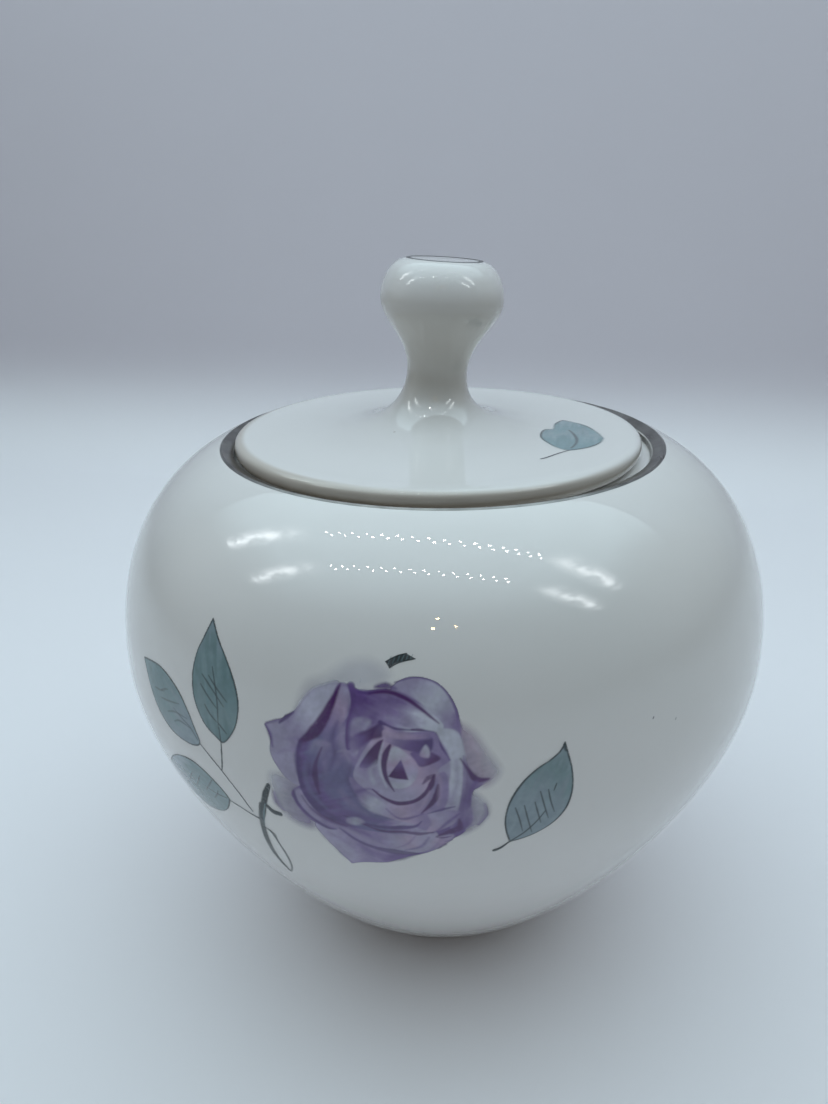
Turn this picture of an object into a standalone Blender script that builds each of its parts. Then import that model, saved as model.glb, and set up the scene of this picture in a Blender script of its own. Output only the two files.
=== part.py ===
"""Squat globular porcelain sugar bowl with a recessed, lift-off lid and a trumpet-footed knob.

Metres, +Z up. The origin is the centre of the foot ring's underside, on the surface the bowl stands on.
Three fired pieces: the cast bowl, the pressed lid plate and the knob that was stuck on to it.
"""

from math import cos, hypot, pi, radians, sin

import bmesh
import bpy

# Driving dimensions of the bowl.
BELLY_RADIUS = 0.0525
BELLY_HEIGHT = 0.0568
LIP_RADIUS = 0.0347
LIP_HEIGHT = 0.0874
WALL = 0.003
FOOT_RADIUS = 0.021
FOOT_HEIGHT = 0.0016
FOOT_WIDTH = 0.0026
UNDERSIDE_HEIGHT = 0.0022
FLOOR_HEIGHT = 0.0056
FLOOR_RADIUS = 0.014
FOOT_BEVEL = 0.0003

# The points that pull the bowl's outer curve out of the foot, round the belly and in to the lip.
FOOT_PULL = (0.0289, 0.0069)
LOW_BELLY_PULL_HEIGHT = 0.0371
HIGH_BELLY_PULL_HEIGHT = 0.0675
LIP_PULL = (0.0494, 0.0813)

# The hollow turns from its wall to its floor over this height, pulled towards these two points.
FLOOR_BEND_HEIGHT = 0.0022
WALL_FOOT_PULL = (-0.0030, -0.0019)
FLOOR_PULL_RADIUS = 0.019

# The stepped mouth: a sloping lip, a rebate, the ledge that carries the lid, and the neck below it.
LIP_SLOPE_WIDTH = 0.0016
LIP_SLOPE_DROP = 0.0006
LIP_EDGE_WIDTH = 0.0005
LIP_EDGE_DROP = 0.00005
REBATE_TAPER = 0.0003
REBATE_CORNER = 0.0004
LEDGE_HEIGHT = 0.08535
NECK_RADIUS = 0.0294
NECK_UNDERSIDE = 0.0822
NECK_CORNER = 0.0005
SHOULDER_JOIN_RADIUS = 0.0365
SHOULDER_JOIN_DROP = 0.0006

# Driving dimensions of the lid.
FIT_GAP = 0.0003
LID_OFFSET = -0.0007
LID_RADIUS = 0.0321
LID_THICKNESS = 0.0031
LID_RISE = 0.0006
LID_EDGE_RADIUS = 0.0014
LID_EDGE_DROP = 0.0001
LID_CROWN_RADIUS = 0.012
LID_SLOPE_RADIUS = 0.022
LID_SLOPE_RISE = 0.0002
FLANGE_RADIUS = 0.0283
FLANGE_WIDTH = 0.0022
FLANGE_DEPTH = 0.0047
FLANGE_CORNER = 0.0005
FLANGE_FILLET = 0.0008
VENT_RADIUS = 0.0016

# Driving dimensions of the knob, measured along its own axis from the lid's top.
KNOB_OFFSET = -0.0005
KNOB_LEAN = radians(3.8)
KNOB_LEAN_HEIGHT = 0.006
KNOB_HEIGHT = 0.0249
KNOB_TOP_RADIUS = 0.0057
KNOB_RADIUS = 0.0094
KNOB_WIDEST_HEIGHT = 0.0192
KNOB_WAIST_RADIUS = 0.0047
KNOB_WAIST_HEIGHT = 0.0084
KNOB_FOOT_RADIUS = 0.0125
KNOB_FOOT_EDGE = 0.0007
KNOB_CAVITY_RADIUS = 0.0049
KNOB_CAVITY_WAIST = 0.0016
KNOB_CAVITY_TAPER = 0.0024
KNOB_CAVITY_FROM_WAIST = 0.0012
KNOB_CAVITY_BELOW_WIDEST = 0.0022
KNOB_CAVITY_ABOVE_WIDEST = 0.0008
KNOB_CROWN_THICKNESS = 0.0032

# The points that pull the knob's outline round its head and down into its waist and its spreading foot.
KNOB_TOP_PULL = (0.0078, 0.0247)
KNOB_HEAD_PULL_HEIGHT = 0.0220
KNOB_UNDER_HEAD_PULL_HEIGHT = 0.0158
KNOB_NECK_PULL_HEIGHT = 0.0134
KNOB_WAIST_PULL_HEIGHT = 0.0043
KNOB_FOOT_PULL = (0.0070, 0.0015)

# How finely the turned shapes are cut.
BOWL_STEPS = 48
KNOB_STEPS = 24
MERGE_DISTANCE = 0.00001


def clear_scene():
    for leftover in list(bpy.data.objects):
        bpy.data.objects.remove(leftover, do_unlink=True)


def glaze(name, colour, roughness):
    """A glossy fired glaze over white porcelain."""
    material = bpy.data.materials.new(name)
    material.use_nodes = True
    shader = material.node_tree.nodes["Principled BSDF"]
    shader.inputs["Base Color"].default_value = (*colour, 1.0)
    shader.inputs["Roughness"].default_value = roughness
    shader.inputs["Metallic"].default_value = 0.0
    return material


def curve(start, start_handle, end_handle, end, pieces):
    """Points along one cubic curve in the radius-height plane, both ends included."""
    points = []
    for index in range(pieces + 1):
        t = index / pieces
        weights = ((1 - t) ** 3, 3 * t * (1 - t) ** 2, 3 * t * t * (1 - t), t**3)
        corners = (start, start_handle, end_handle, end)
        points.append(tuple(sum(w * c[axis] for w, c in zip(weights, corners)) for axis in (0, 1)))
    return points


def arc(centre, radius, start_degrees, end_degrees, pieces):
    """Points along a circular arc in the radius-height plane, both ends included."""
    points = []
    for index in range(pieces + 1):
        angle = radians(start_degrees + (end_degrees - start_degrees) * index / pieces)
        points.append((centre[0] + radius * cos(angle), centre[1] + radius * sin(angle)))
    return points


def inset(points, distance):
    """The same line moved inwards, square to itself, for the inner face of a wall."""
    moved = []
    for index, (radius, height) in enumerate(points):
        before = points[max(index - 1, 0)]
        after = points[min(index + 1, len(points) - 1)]
        along = (after[0] - before[0], after[1] - before[1])
        length = hypot(*along)
        moved.append((radius - distance * along[1] / length, height + distance * along[0] / length))
    return moved


def bowl_outside():
    """From the top edge of the foot ring, round the belly, up to the outer edge of the lip."""
    foot = (FOOT_RADIUS, FOOT_HEIGHT)
    belly = (BELLY_RADIUS, BELLY_HEIGHT)
    lip = (LIP_RADIUS, LIP_HEIGHT)
    below = curve(foot, FOOT_PULL, (BELLY_RADIUS, LOW_BELLY_PULL_HEIGHT), belly, 14)
    above = curve(belly, (BELLY_RADIUS, HIGH_BELLY_PULL_HEIGHT), LIP_PULL, lip, 12)
    return below + above[1:]


def foot_ring():
    """From the middle of the recessed underside, down and round the ring that the bowl stands on."""
    inner = FOOT_RADIUS - FOOT_WIDTH
    bevel = FOOT_BEVEL
    return [
        (0.0, UNDERSIDE_HEIGHT),
        (inner - 5 * bevel, UNDERSIDE_HEIGHT),
        (inner - 2 * bevel, UNDERSIDE_HEIGHT - 2 * bevel),
        (inner, bevel),
        (inner + bevel, 0.0),
        (FOOT_RADIUS - 2 * bevel, 0.0),
        (FOOT_RADIUS - bevel, bevel),
    ]


def mouth():
    """From just inside the lip's outer edge down over the lip, the rebate, the ledge and the neck."""
    lip_inner = (LIP_RADIUS - LIP_SLOPE_WIDTH, LIP_HEIGHT - LIP_SLOPE_DROP)
    rebate = lip_inner[0] - REBATE_TAPER
    corner_radius = NECK_RADIUS + NECK_CORNER
    return (
        [(LIP_RADIUS - LIP_EDGE_WIDTH, LIP_HEIGHT - LIP_EDGE_DROP), lip_inner]
        + [(rebate, LEDGE_HEIGHT + REBATE_CORNER), (rebate - REBATE_CORNER, LEDGE_HEIGHT)]
        + arc((corner_radius, LEDGE_HEIGHT - NECK_CORNER), NECK_CORNER, 90, 180, 2)
        + arc((corner_radius, NECK_UNDERSIDE + NECK_CORNER), NECK_CORNER, 180, 270, 2)
    )


def bowl_inside():
    """From under the shoulder, down the inner face of the wall, to the middle of the floor."""
    wall = inset(bowl_outside(), WALL)
    lowest = FLOOR_HEIGHT + FLOOR_BEND_HEIGHT
    highest = NECK_UNDERSIDE - SHOULDER_JOIN_DROP
    face = [point for point in reversed(wall) if lowest < point[1] < highest]
    start = face[-1]
    start_pull = (start[0] + WALL_FOOT_PULL[0], start[1] + WALL_FOOT_PULL[1])
    floor_pull = (FLOOR_PULL_RADIUS, FLOOR_HEIGHT)
    flat = curve(start, start_pull, floor_pull, (FLOOR_RADIUS, FLOOR_HEIGHT), 4)
    return [(SHOULDER_JOIN_RADIUS, NECK_UNDERSIDE)] + face + flat[1:] + [(0.0, FLOOR_HEIGHT)]


def lid_plate_outline():
    """The closed section of the lid, heights from its flat underside: top, rolled edge, flange and vent."""
    roll = LID_EDGE_RADIUS
    crown = LID_THICKNESS + LID_RISE
    edge_top = LID_THICKNESS - LID_EDGE_DROP
    flange_inner = FLANGE_RADIUS - FLANGE_WIDTH
    soft = FLANGE_CORNER
    return (
        [(VENT_RADIUS, crown), (LID_CROWN_RADIUS, crown)]
        + [(LID_SLOPE_RADIUS, LID_THICKNESS + LID_SLOPE_RISE)]
        + arc((LID_RADIUS - roll, edge_top - roll), roll, 80, 0, 3)
        + arc((LID_RADIUS - roll, roll), roll, 0, -90, 3)
        + [(FLANGE_RADIUS + soft, 0.0), (FLANGE_RADIUS, -soft)]
        + [(FLANGE_RADIUS, soft - FLANGE_DEPTH), (FLANGE_RADIUS - soft, -FLANGE_DEPTH)]
        + [(flange_inner + soft, -FLANGE_DEPTH), (flange_inner, soft - FLANGE_DEPTH)]
        + [(flange_inner, -FLANGE_FILLET), (flange_inner - FLANGE_FILLET, 0.0), (VENT_RADIUS, 0.0)]
    )


def knob_outline():
    """From the middle of the knob's top, down its outside, and up its narrow cavity to the axis."""
    shoulder = (KNOB_TOP_RADIUS, KNOB_HEIGHT)
    widest = (KNOB_RADIUS, KNOB_WIDEST_HEIGHT)
    waist = (KNOB_WAIST_RADIUS, KNOB_WAIST_HEIGHT)
    edge = (KNOB_FOOT_RADIUS, KNOB_FOOT_EDGE + FIT_GAP)
    head_pull = (KNOB_RADIUS, KNOB_HEAD_PULL_HEIGHT)
    under_head_pull = (KNOB_RADIUS, KNOB_UNDER_HEAD_PULL_HEIGHT)
    neck_pull = (KNOB_WAIST_RADIUS, KNOB_NECK_PULL_HEIGHT)
    waist_pull = (KNOB_WAIST_RADIUS, KNOB_WAIST_PULL_HEIGHT)
    outside = (
        curve(shoulder, KNOB_TOP_PULL, head_pull, widest, 5)
        + curve(widest, under_head_pull, neck_pull, waist, 7)[1:]
        + curve(waist, waist_pull, KNOB_FOOT_PULL, edge, 6)[1:]
    )
    cavity_top = KNOB_HEIGHT - KNOB_CROWN_THICKNESS
    cavity = [
        (KNOB_FOOT_RADIUS, FIT_GAP),
        (KNOB_CAVITY_WAIST, FIT_GAP),
        (KNOB_CAVITY_WAIST, KNOB_WAIST_HEIGHT + KNOB_CAVITY_FROM_WAIST),
        (KNOB_CAVITY_RADIUS, KNOB_WIDEST_HEIGHT - KNOB_CAVITY_BELOW_WIDEST),
        (KNOB_CAVITY_RADIUS, KNOB_WIDEST_HEIGHT + KNOB_CAVITY_ABOVE_WIDEST),
        (KNOB_CAVITY_RADIUS - KNOB_CAVITY_TAPER, cavity_top),
        (0.0, cavity_top),
    ]
    return [(0.0, KNOB_HEIGHT)] + outside + cavity


def lean(piece, angle, full_height):
    """Tips a turned piece towards +X, from nothing at its flat foot to the whole angle at full_height."""
    for vertex in piece.data.vertices:
        across, height = vertex.co.x, vertex.co.z
        share = min(max(height / full_height, 0.0), 1.0)
        tip = angle * share * share * (3 - 2 * share)
        vertex.co.x = across * cos(tip) + height * sin(tip)
        vertex.co.z = height * cos(tip) - across * sin(tip)


def turned(name, outline, ring, steps, material):
    """An outline revolved about Z. A ring's outline is closed; any other starts and ends on the axis."""
    shape = bmesh.new()
    corners = [shape.verts.new((radius, 0.0, height)) for radius, height in outline]
    followers = corners[1:] + corners[:1] if ring else corners[1:]
    edges = [shape.edges.new(pair) for pair in zip(corners, followers)]
    bmesh.ops.spin(
        shape, geom=corners + edges, cent=(0, 0, 0), axis=(0, 0, 1), angle=2 * pi, steps=steps
    )
    bmesh.ops.remove_doubles(shape, verts=shape.verts, dist=MERGE_DISTANCE)
    bmesh.ops.recalc_face_normals(shape, faces=shape.faces)
    mesh = bpy.data.meshes.new(name)
    shape.to_mesh(mesh)
    shape.free()
    mesh.materials.append(material)
    mesh.shade_smooth()
    mesh.set_sharp_from_angle(angle=radians(40))
    piece = bpy.data.objects.new(name, mesh)
    bpy.context.collection.objects.link(piece)
    return piece


def build_bowl():
    outline = foot_ring() + bowl_outside() + mouth() + bowl_inside()
    turned("bowl_body", outline, False, BOWL_STEPS, glaze("bowl_glaze", (0.80, 0.81, 0.80), 0.12))


def build_lid():
    """The lid and its knob hang on one empty, which stands on the axis along which the lid lifts."""
    lift = bpy.data.objects.new("lid_lift", None)
    lift.location = (LID_OFFSET, 0.0, LEDGE_HEIGHT + FIT_GAP)
    bpy.context.collection.objects.link(lift)

    plate_glaze = glaze("lid_glaze", (0.81, 0.82, 0.81), 0.12)
    plate = turned("lid_plate", lid_plate_outline(), True, BOWL_STEPS, plate_glaze)
    plate.parent = lift

    knob_glaze = glaze("knob_glaze", (0.82, 0.82, 0.82), 0.10)
    knob = turned("lid_knob", knob_outline(), False, KNOB_STEPS, knob_glaze)
    knob.parent = lift
    knob.location = (KNOB_OFFSET, 0.0, LID_THICKNESS + LID_RISE)
    lean(knob, KNOB_LEAN, KNOB_LEAN_HEIGHT)


clear_scene()
build_bowl()
build_lid()
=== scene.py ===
"""A white porcelain sugar bowl with a recessed lid, platinum lines and a printed purple rose.

Metres, +Z up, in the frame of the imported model: the bowl stands on z = 0 and its decorated front faces -Y.
"""

from math import cos, pi, radians, sin, tau

import bpy
import numpy as np
from mathutils import Matrix, Vector


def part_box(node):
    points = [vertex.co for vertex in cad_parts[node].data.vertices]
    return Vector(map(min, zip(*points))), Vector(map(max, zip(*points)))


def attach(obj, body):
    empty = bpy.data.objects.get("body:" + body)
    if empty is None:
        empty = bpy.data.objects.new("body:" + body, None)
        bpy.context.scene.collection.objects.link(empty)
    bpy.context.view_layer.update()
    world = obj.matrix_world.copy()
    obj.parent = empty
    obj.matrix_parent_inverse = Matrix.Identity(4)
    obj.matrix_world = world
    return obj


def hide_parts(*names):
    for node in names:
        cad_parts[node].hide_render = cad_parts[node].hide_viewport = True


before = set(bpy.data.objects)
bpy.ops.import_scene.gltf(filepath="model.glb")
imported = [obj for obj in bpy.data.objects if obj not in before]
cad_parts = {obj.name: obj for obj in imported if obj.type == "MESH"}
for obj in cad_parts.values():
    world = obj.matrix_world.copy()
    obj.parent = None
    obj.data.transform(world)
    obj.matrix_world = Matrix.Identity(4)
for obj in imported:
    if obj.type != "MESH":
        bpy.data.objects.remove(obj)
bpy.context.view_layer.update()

# ---------------------------------------------------------------- the view
# A close, wide view from a little above the lid, turned slightly to the left of the bowl and not quite level.
camera_pitch = radians(23.18)
camera_turn = radians(2.01)
camera_roll = radians(-0.61)
bpy.ops.object.camera_add(location=(0.0, -0.1309, 0.1228))
camera = bpy.context.object
camera.data.lens = 27.07
camera.data.sensor_width = 36.0
camera.data.clip_start = 0.005
camera.rotation_euler = (
    Matrix.Rotation(camera_turn, 3, "Z")
    @ Matrix.Rotation(pi / 2 - camera_pitch, 3, "X")
    @ Matrix.Rotation(camera_roll, 3, "Z")
).to_euler()
bpy.context.scene.camera = camera

# ---------------------------------------------------------------- the floor and backdrop
# One sheet of matt white film on the floor of a light tent, rolled up into its back wall. Where it rises into
# the wall it is coloured darker than on the floor, as painted shade.


class Wire:
    """One output of a material's nodes. Arithmetic on wires adds Math nodes."""

    def __init__(self, tree, socket=None):
        self.tree = tree
        self.socket = socket

    def node(self, kind, settings=None, sockets=None, output=0):
        """Adds a node of this kind, with its settings first, then values or wires on its sockets."""
        made = self.tree.nodes.new(kind)
        for name, value in (settings or {}).items():
            setattr(made, name, value)
        for name, value in (sockets or {}).items():
            if isinstance(value, Wire):
                self.tree.links.new(value.socket, made.inputs[name])
            else:
                made.inputs[name].default_value = value
        return Wire(self.tree, made.outputs[output])

    def maths(self, operation, first, second=0.0):
        return self.node("ShaderNodeMath", {"operation": operation}, {0: first, 1: second})

    def __add__(self, other):
        return self.maths("ADD", self, other)

    def __radd__(self, other):
        return self.maths("ADD", other, self)

    def __sub__(self, other):
        return self.maths("SUBTRACT", self, other)

    def __rsub__(self, other):
        return self.maths("SUBTRACT", other, self)

    def __mul__(self, other):
        return self.maths("MULTIPLY", self, other)

    def __rmul__(self, other):
        return self.maths("MULTIPLY", other, self)

    def between(self, low, high):
        """0 below low, 1 above high, and a smooth step between."""
        sockets = {"Value": self, "From Min": low, "From Max": high}
        return self.node("ShaderNodeMapRange", {"interpolation_type": "SMOOTHSTEP"}, sockets)

    def blend(self, first, second):
        """first where this wire is 0 and second where it is 1, as colours."""
        sockets = {"Factor": self, 6: first, 7: second}
        return self.node("ShaderNodeMix", {"data_type": "RGBA"}, sockets, output=2)

    def noise(self, place, scale, detail=2.0, roughness=0.5):
        sockets = {"Vector": place, "Scale": scale, "Detail": detail, "Roughness": roughness}
        return self.node("ShaderNodeTexNoise", {}, sockets)


def new_material(name, **fixed):
    """A Principled material with these fixed sockets. Returns it, its shader, and a wire to start from."""
    material = bpy.data.materials.new(name)
    material.use_nodes = True
    shader = material.node_tree.nodes["Principled BSDF"]
    for socket, value in fixed.items():
        shader.inputs[socket.replace("_", " ")].default_value = value
    return material, shader, Wire(material.node_tree)


def feed(shader, **wires):
    """Joins each wire to the shader's socket of that name."""
    for socket, wire in wires.items():
        shader.id_data.links.new(wire.socket, shader.inputs[socket.replace("_", " ")])


film, film_shader, start = new_material("tent_film", Roughness=0.75)
film_place = start.node("ShaderNodeTexCoord", output=3)
film_cloud = start.noise(film_place, 5.0)
film_height = start.node("ShaderNodeSeparateXYZ", {}, {0: film_place}, output=2)
floor_white = film_cloud.blend((0.93, 0.91, 0.93, 1.0), (0.96, 0.94, 0.96, 1.0))
# the wall's copy of the film's white is much darker, as painted shade
painted_shade_wall_white = film_cloud.blend((0.61, 0.57, 0.61, 1.0), (0.66, 0.62, 0.66, 1.0))
feed(film_shader, Base_Color=film_height.between(0.0, 0.06).blend(floor_white, painted_shade_wall_white))

wall_distance = 0.27
wall_turn = radians(-9.0)
bend_radius = 0.045
bpy.ops.object.select_all(action="DESELECT")
bpy.ops.mesh.primitive_plane_add(size=1.0)
sweep = bpy.context.object
sweep.name = "tent_floor"
bpy.ops.object.mode_set(mode="EDIT")
bpy.ops.transform.resize(value=(3.0, 2.2, 1.0))
bpy.ops.transform.translate(value=(0.0, wall_distance - bend_radius - 1.1, 0.0))
bpy.ops.object.mode_set(mode="OBJECT")
for edge in sweep.data.edges:
    edge.select = all(sweep.data.vertices[i].co.y > 0.0 for i in edge.vertices)
for vertex in sweep.data.vertices:
    vertex.select = vertex.co.y > 0.0
for face in sweep.data.polygons:
    face.select = False
bpy.ops.object.mode_set(mode="EDIT")
bpy.context.tool_settings.mesh_select_mode = (False, True, False)
bend_steps = 12
for step in range(bend_steps):
    angle = (step + 0.5) * pi / 2 / bend_steps
    length = 2 * bend_radius * sin(pi / 4 / bend_steps)
    move = (0.0, length * cos(angle), length * sin(angle))
    bpy.ops.mesh.extrude_region_move(TRANSFORM_OT_translate={"value": move})
bpy.ops.mesh.extrude_region_move(TRANSFORM_OT_translate={"value": (0.0, 0.0, 0.9)})
bpy.ops.object.mode_set(mode="OBJECT")
sweep.data.transform(Matrix.Rotation(wall_turn, 4, "Z"))
bpy.ops.object.shade_smooth()
sweep.data.materials.append(film)

# ---------------------------------------------------------------- the light
# The tent's cloth ceiling glows softly, brightest above the bowl, and its side walls glow faintly. Two
# strips of small lamps cross the ceiling, and each end of a strip lights the cloth beside it. Three warm
# bulbs hang in the dim room in front.


def glow(name, strength, colour, shape_of_glow):
    """A cloth that gives light where shape_of_glow says, from 0 to 1, and is clear air elsewhere."""
    material = bpy.data.materials.new(name)
    material.use_nodes = True
    tree = material.node_tree
    tree.nodes.remove(tree.nodes["Principled BSDF"])
    start = Wire(tree)
    place = start.node("ShaderNodeTexCoord", output=3)
    clear = start.node("ShaderNodeBsdfTransparent")
    light = start.node("ShaderNodeEmission", {}, {"Color": (*colour, 1.0), "Strength": strength})
    lit = start.node("ShaderNodeMixShader", {}, {0: shape_of_glow(start, place), 1: clear, 2: light})
    tree.links.new(lit.socket, tree.nodes["Material Output"].inputs["Surface"])
    return material


def sheet_of_light(name, width, depth, centre, turn, material, tilt=0.0):
    """A sheet that faces down, or inwards if tilted. Its place stays on the object, to centre its glow."""
    bpy.ops.object.select_all(action="DESELECT")
    bpy.ops.mesh.primitive_plane_add(size=1.0, location=centre, rotation=(pi, tilt, turn))
    sheet = bpy.context.object
    sheet.name = name
    sheet.data.transform(Matrix.Diagonal((width, depth, 1.0, 1.0)))
    sheet.data.materials.append(material)
    return sheet


def round_glow(start, place):
    """Brightest above the bowl and falling away, less quickly to its sides than to its front and back."""
    squeezed = start.node("ShaderNodeVectorMath", {"operation": "MULTIPLY"}, {0: place, 1: (0.62, 1.0, 1.0)})
    away = start.node("ShaderNodeVectorMath", {"operation": "LENGTH"}, {0: squeezed}, output=1)
    cloth = 0.67 + 0.33 * start.noise(place, 9.0, 2.0)
    return (1.0 - away.between(0.12, 0.58)) * cloth


def side_glow(start, place):
    """A tent wall, brighter in its middle and fading out before its edges."""
    away = start.node("ShaderNodeVectorMath", {"operation": "LENGTH"}, {0: place}, output=1)
    return (1.0 - away.between(0.05, 0.24)) * (0.6 + 0.4 * start.noise(place, 14.0, 2.0))


def streak_glow(start, place):
    """Bright along the middle of a narrow sheet, fading to its edges and ends, and broken by folds."""
    across = start.node("ShaderNodeSeparateXYZ", {}, {0: place}, output=1)
    along = start.node("ShaderNodeSeparateXYZ", {}, {0: place}, output=0)
    off_middle = start.maths("ABSOLUTE", across)
    middle = 0.5 * (1.0 - off_middle.between(0.0, 0.016)) + 0.5 * (1.0 - off_middle.between(0.0, 0.034))
    ends = 1.0 - start.maths("ABSOLUTE", along).between(0.04, 0.13)
    folds = start.noise(place, 30.0, 2.0).between(0.35, 0.6)
    return middle * ends * (0.25 + 0.75 * folds)


def whole_glow(start, place):
    """Alight all over."""
    return 1.0


daylight = (0.79, 0.98, 1.07)
sheet_of_light(
    "ceiling", 1.3, 1.3, (0.0, 0.05, 0.48), 0.0, glow("ceiling_cloth", 2.0, daylight, round_glow),
)
wall_cloth = glow("tent_wall", 0.42, (0.94, 0.94, 0.93), side_glow)
sheet_of_light("left_wall", 0.4, 0.5, (-0.34, 0.0, 0.24), 0.0, wall_cloth, tilt=radians(90))
sheet_of_light("right_wall", 0.4, 0.5, (0.34, 0.0, 0.24), 0.0, wall_cloth, tilt=radians(-90))

strip_height = 0.30
strip_ends = (((-0.114, 0.001), (0.110, -0.061), 16), ((-0.133, -0.090), (0.083, -0.132), 14))
lamp_glow = glow("strip_lamp", 75.0, (0.95, 0.98, 1.0), whole_glow)
for row, (left, right, columns) in enumerate(strip_ends):
    for index in range(columns):
        share = index / (columns - 1)
        x = left[0] + (right[0] - left[0]) * share
        y = left[1] + (right[1] - left[1]) * share
        for pair, (aside, ahead) in enumerate(((-0.002, 0.005), (0.003, -0.005))):
            spot = (x + aside, y + ahead, strip_height)
            lamp = sheet_of_light(f"lamp_{row}_{index:02d}_{pair}", 0.0026, 0.0026, spot, 0.0, lamp_glow)
            lamp.visible_diffuse = False
            lamp.visible_camera = False

streak_ends = (
    ((-0.382, 0.061), (-0.127, 0.005)),
    ((-0.390, -0.091), (-0.143, -0.083)),
    ((0.117, -0.060), (0.333, -0.128)),
    ((0.096, -0.136), (0.380, -0.230)),
)
streak = glow("lit_fold", 8.0, (0.93, 0.98, 1.0), streak_glow)
for index, (near, far) in enumerate(streak_ends):
    along = Vector(far) - Vector(near)
    middle = (Vector(far) + Vector(near)) / 2
    turn = along.angle_signed(Vector((1.0, 0.0)))
    fold = sheet_of_light(f"lit_fold_{index}", along.length, 0.07, (*middle, strip_height), turn, streak)
    fold.visible_diffuse = False
    fold.visible_camera = False

bulb_glow = glow("room_bulb", 90.0, (1.0, 0.62, 0.28), whole_glow)
for index, spot in enumerate(((-0.005, -0.273), (-0.015, -0.324), (0.030, -0.314))):
    bulb = sheet_of_light(f"room_bulb_{index}", 0.006, 0.006, (*spot, strip_height), 0.0, bulb_glow)
    bulb.visible_diffuse = False
    bulb.visible_camera = False

# the pale room outside the tent, which is seen but neither lights the bowl nor shows in its glaze
bpy.ops.object.select_all(action="DESELECT")
bpy.ops.mesh.primitive_cylinder_add(vertices=96, radius=1.05, depth=2.4, location=(0.0, 0.0, 1.19))
room = bpy.context.object
room.name = "room_wall"
room.data.materials.append(glow("room_paint", 0.42, (0.80, 0.87, 0.97), whole_glow))
room.visible_diffuse = False
room.visible_glossy = False
room.visible_transmission = False
room.visible_shadow = False

world = bpy.data.worlds.new("room")
bpy.context.scene.world = world
world.use_nodes = True
world.node_tree.nodes["Background"].inputs["Color"].default_value = (0.68, 0.65, 0.63, 1.0)
world.node_tree.nodes["Background"].inputs["Strength"].default_value = 0.15
bpy.context.scene.view_settings.view_transform = "Standard"

# ---------------------------------------------------------------- the bowl
# Slip-cast porcelain, one piece with its foot ring and its stepped mouth. Dipped in clear glaze and
# fired, so the whole of it is glossy except the ground underside of the foot ring.


def bend(start, start_pull, end_pull, end, pieces):
    """Points along one cubic curve of radius and height, without its first point."""
    points = []
    for index in range(1, pieces + 1):
        t = index / pieces
        shares = ((1 - t) ** 3, 3 * t * (1 - t) ** 2, 3 * t * t * (1 - t), t**3)
        corners = (start, start_pull, end_pull, end)
        points.append(tuple(sum(s * c[i] for s, c in zip(shares, corners)) for i in (0, 1)))
    return points


def round_off(before, corner, after, radius, pieces=5):
    """A corner turned into a short curve that starts and ends this far from it."""
    ends = []
    for other in (before, after):
        away = Vector(other) - Vector(corner)
        ends.append(tuple(Vector(corner) + away.normalized() * min(radius, away.length * 0.49)))
    pull = [tuple((Vector(end) + 2 * Vector(corner)) / 3) for end in ends]
    return [ends[0]] + bend(ends[0], pull[0], pull[1], ends[1], pieces)


def throw(name, outline, steps):
    """Draws an outline of radius and height corner by corner, then spins it round the upright axis."""
    bpy.ops.object.select_all(action="DESELECT")
    bpy.ops.mesh.primitive_plane_add(size=0.001)
    piece = bpy.context.object
    piece.name = name
    bpy.ops.object.mode_set(mode="EDIT")
    bpy.context.tool_settings.mesh_select_mode = (True, False, False)
    bpy.ops.mesh.merge(type="CENTER")
    bpy.ops.transform.translate(value=(outline[0][0], 0.0, outline[0][1]))
    for before, after in zip(outline, outline[1:]):
        move = (after[0] - before[0], 0.0, after[1] - before[1])
        bpy.ops.mesh.extrude_region_move(TRANSFORM_OT_translate={"value": move})
    bpy.ops.mesh.select_all(action="SELECT")
    bpy.ops.mesh.spin(steps=steps, angle=tau, center=(0.0, 0.0, 0.0), axis=(0.0, 0.0, 1.0))
    bpy.ops.mesh.select_all(action="SELECT")
    bpy.ops.mesh.remove_doubles(threshold=0.000002)
    bpy.ops.mesh.normals_make_consistent(inside=False)
    bpy.ops.object.mode_set(mode="OBJECT")
    bpy.ops.object.shade_smooth_by_angle(angle=radians(40))
    return piece


bowl_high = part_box("bowl_body")[1]
belly = (bowl_high.x, 0.0568)
lip = (0.0347, bowl_high.z)
foot = (0.0210, 0.0016)
lip_inside = (0.0331, lip[1] - 0.0006)
rebate_foot = (0.0328, 0.08535)
neck_top = (0.0294, 0.08535)
neck_bottom = (0.0294, 0.0822)
shoulder_inside = (0.0365, 0.0822)
belly_inside = (belly[0] - 0.003, belly[1])
floor_edge = (0.0140, 0.0056)

ring_corners = [(0.0168, 0.0022), (0.0182, 0.0), (0.0207, 0.0), foot]
outline = [(0.0, 0.0022)]
outline += round_off(outline[0], ring_corners[0], ring_corners[1], 0.0012)
outline += round_off(ring_corners[0], ring_corners[1], ring_corners[2], 0.0005)
outline += round_off(ring_corners[1], ring_corners[2], ring_corners[3], 0.0005)
outline += [foot]
outline += bend(foot, (0.0289, 0.0069), (belly[0], 0.0371), belly, 44)
outline += bend(belly, (belly[0], 0.0675), (0.0494, 0.0813), lip, 40)[:-1]
outline += round_off(outline[-1], lip, lip_inside, 0.0004)
outline += round_off(lip, lip_inside, rebate_foot, 0.0003)
outline += round_off(lip_inside, rebate_foot, neck_top, 0.0006)
outline += round_off(rebate_foot, neck_top, neck_bottom, 0.0006)
outline += round_off(neck_top, neck_bottom, shoulder_inside, 0.0006)
outline += bend(shoulder_inside, (0.0425, 0.0816), (belly_inside[0], 0.0675), belly_inside, 20)
outline += bend(belly_inside, (belly_inside[0], 0.0390), (0.0245, 0.0056), floor_edge, 24)
outline += [(0.0, floor_edge[1])]
bowl = throw("bowl", outline, 256)


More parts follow.
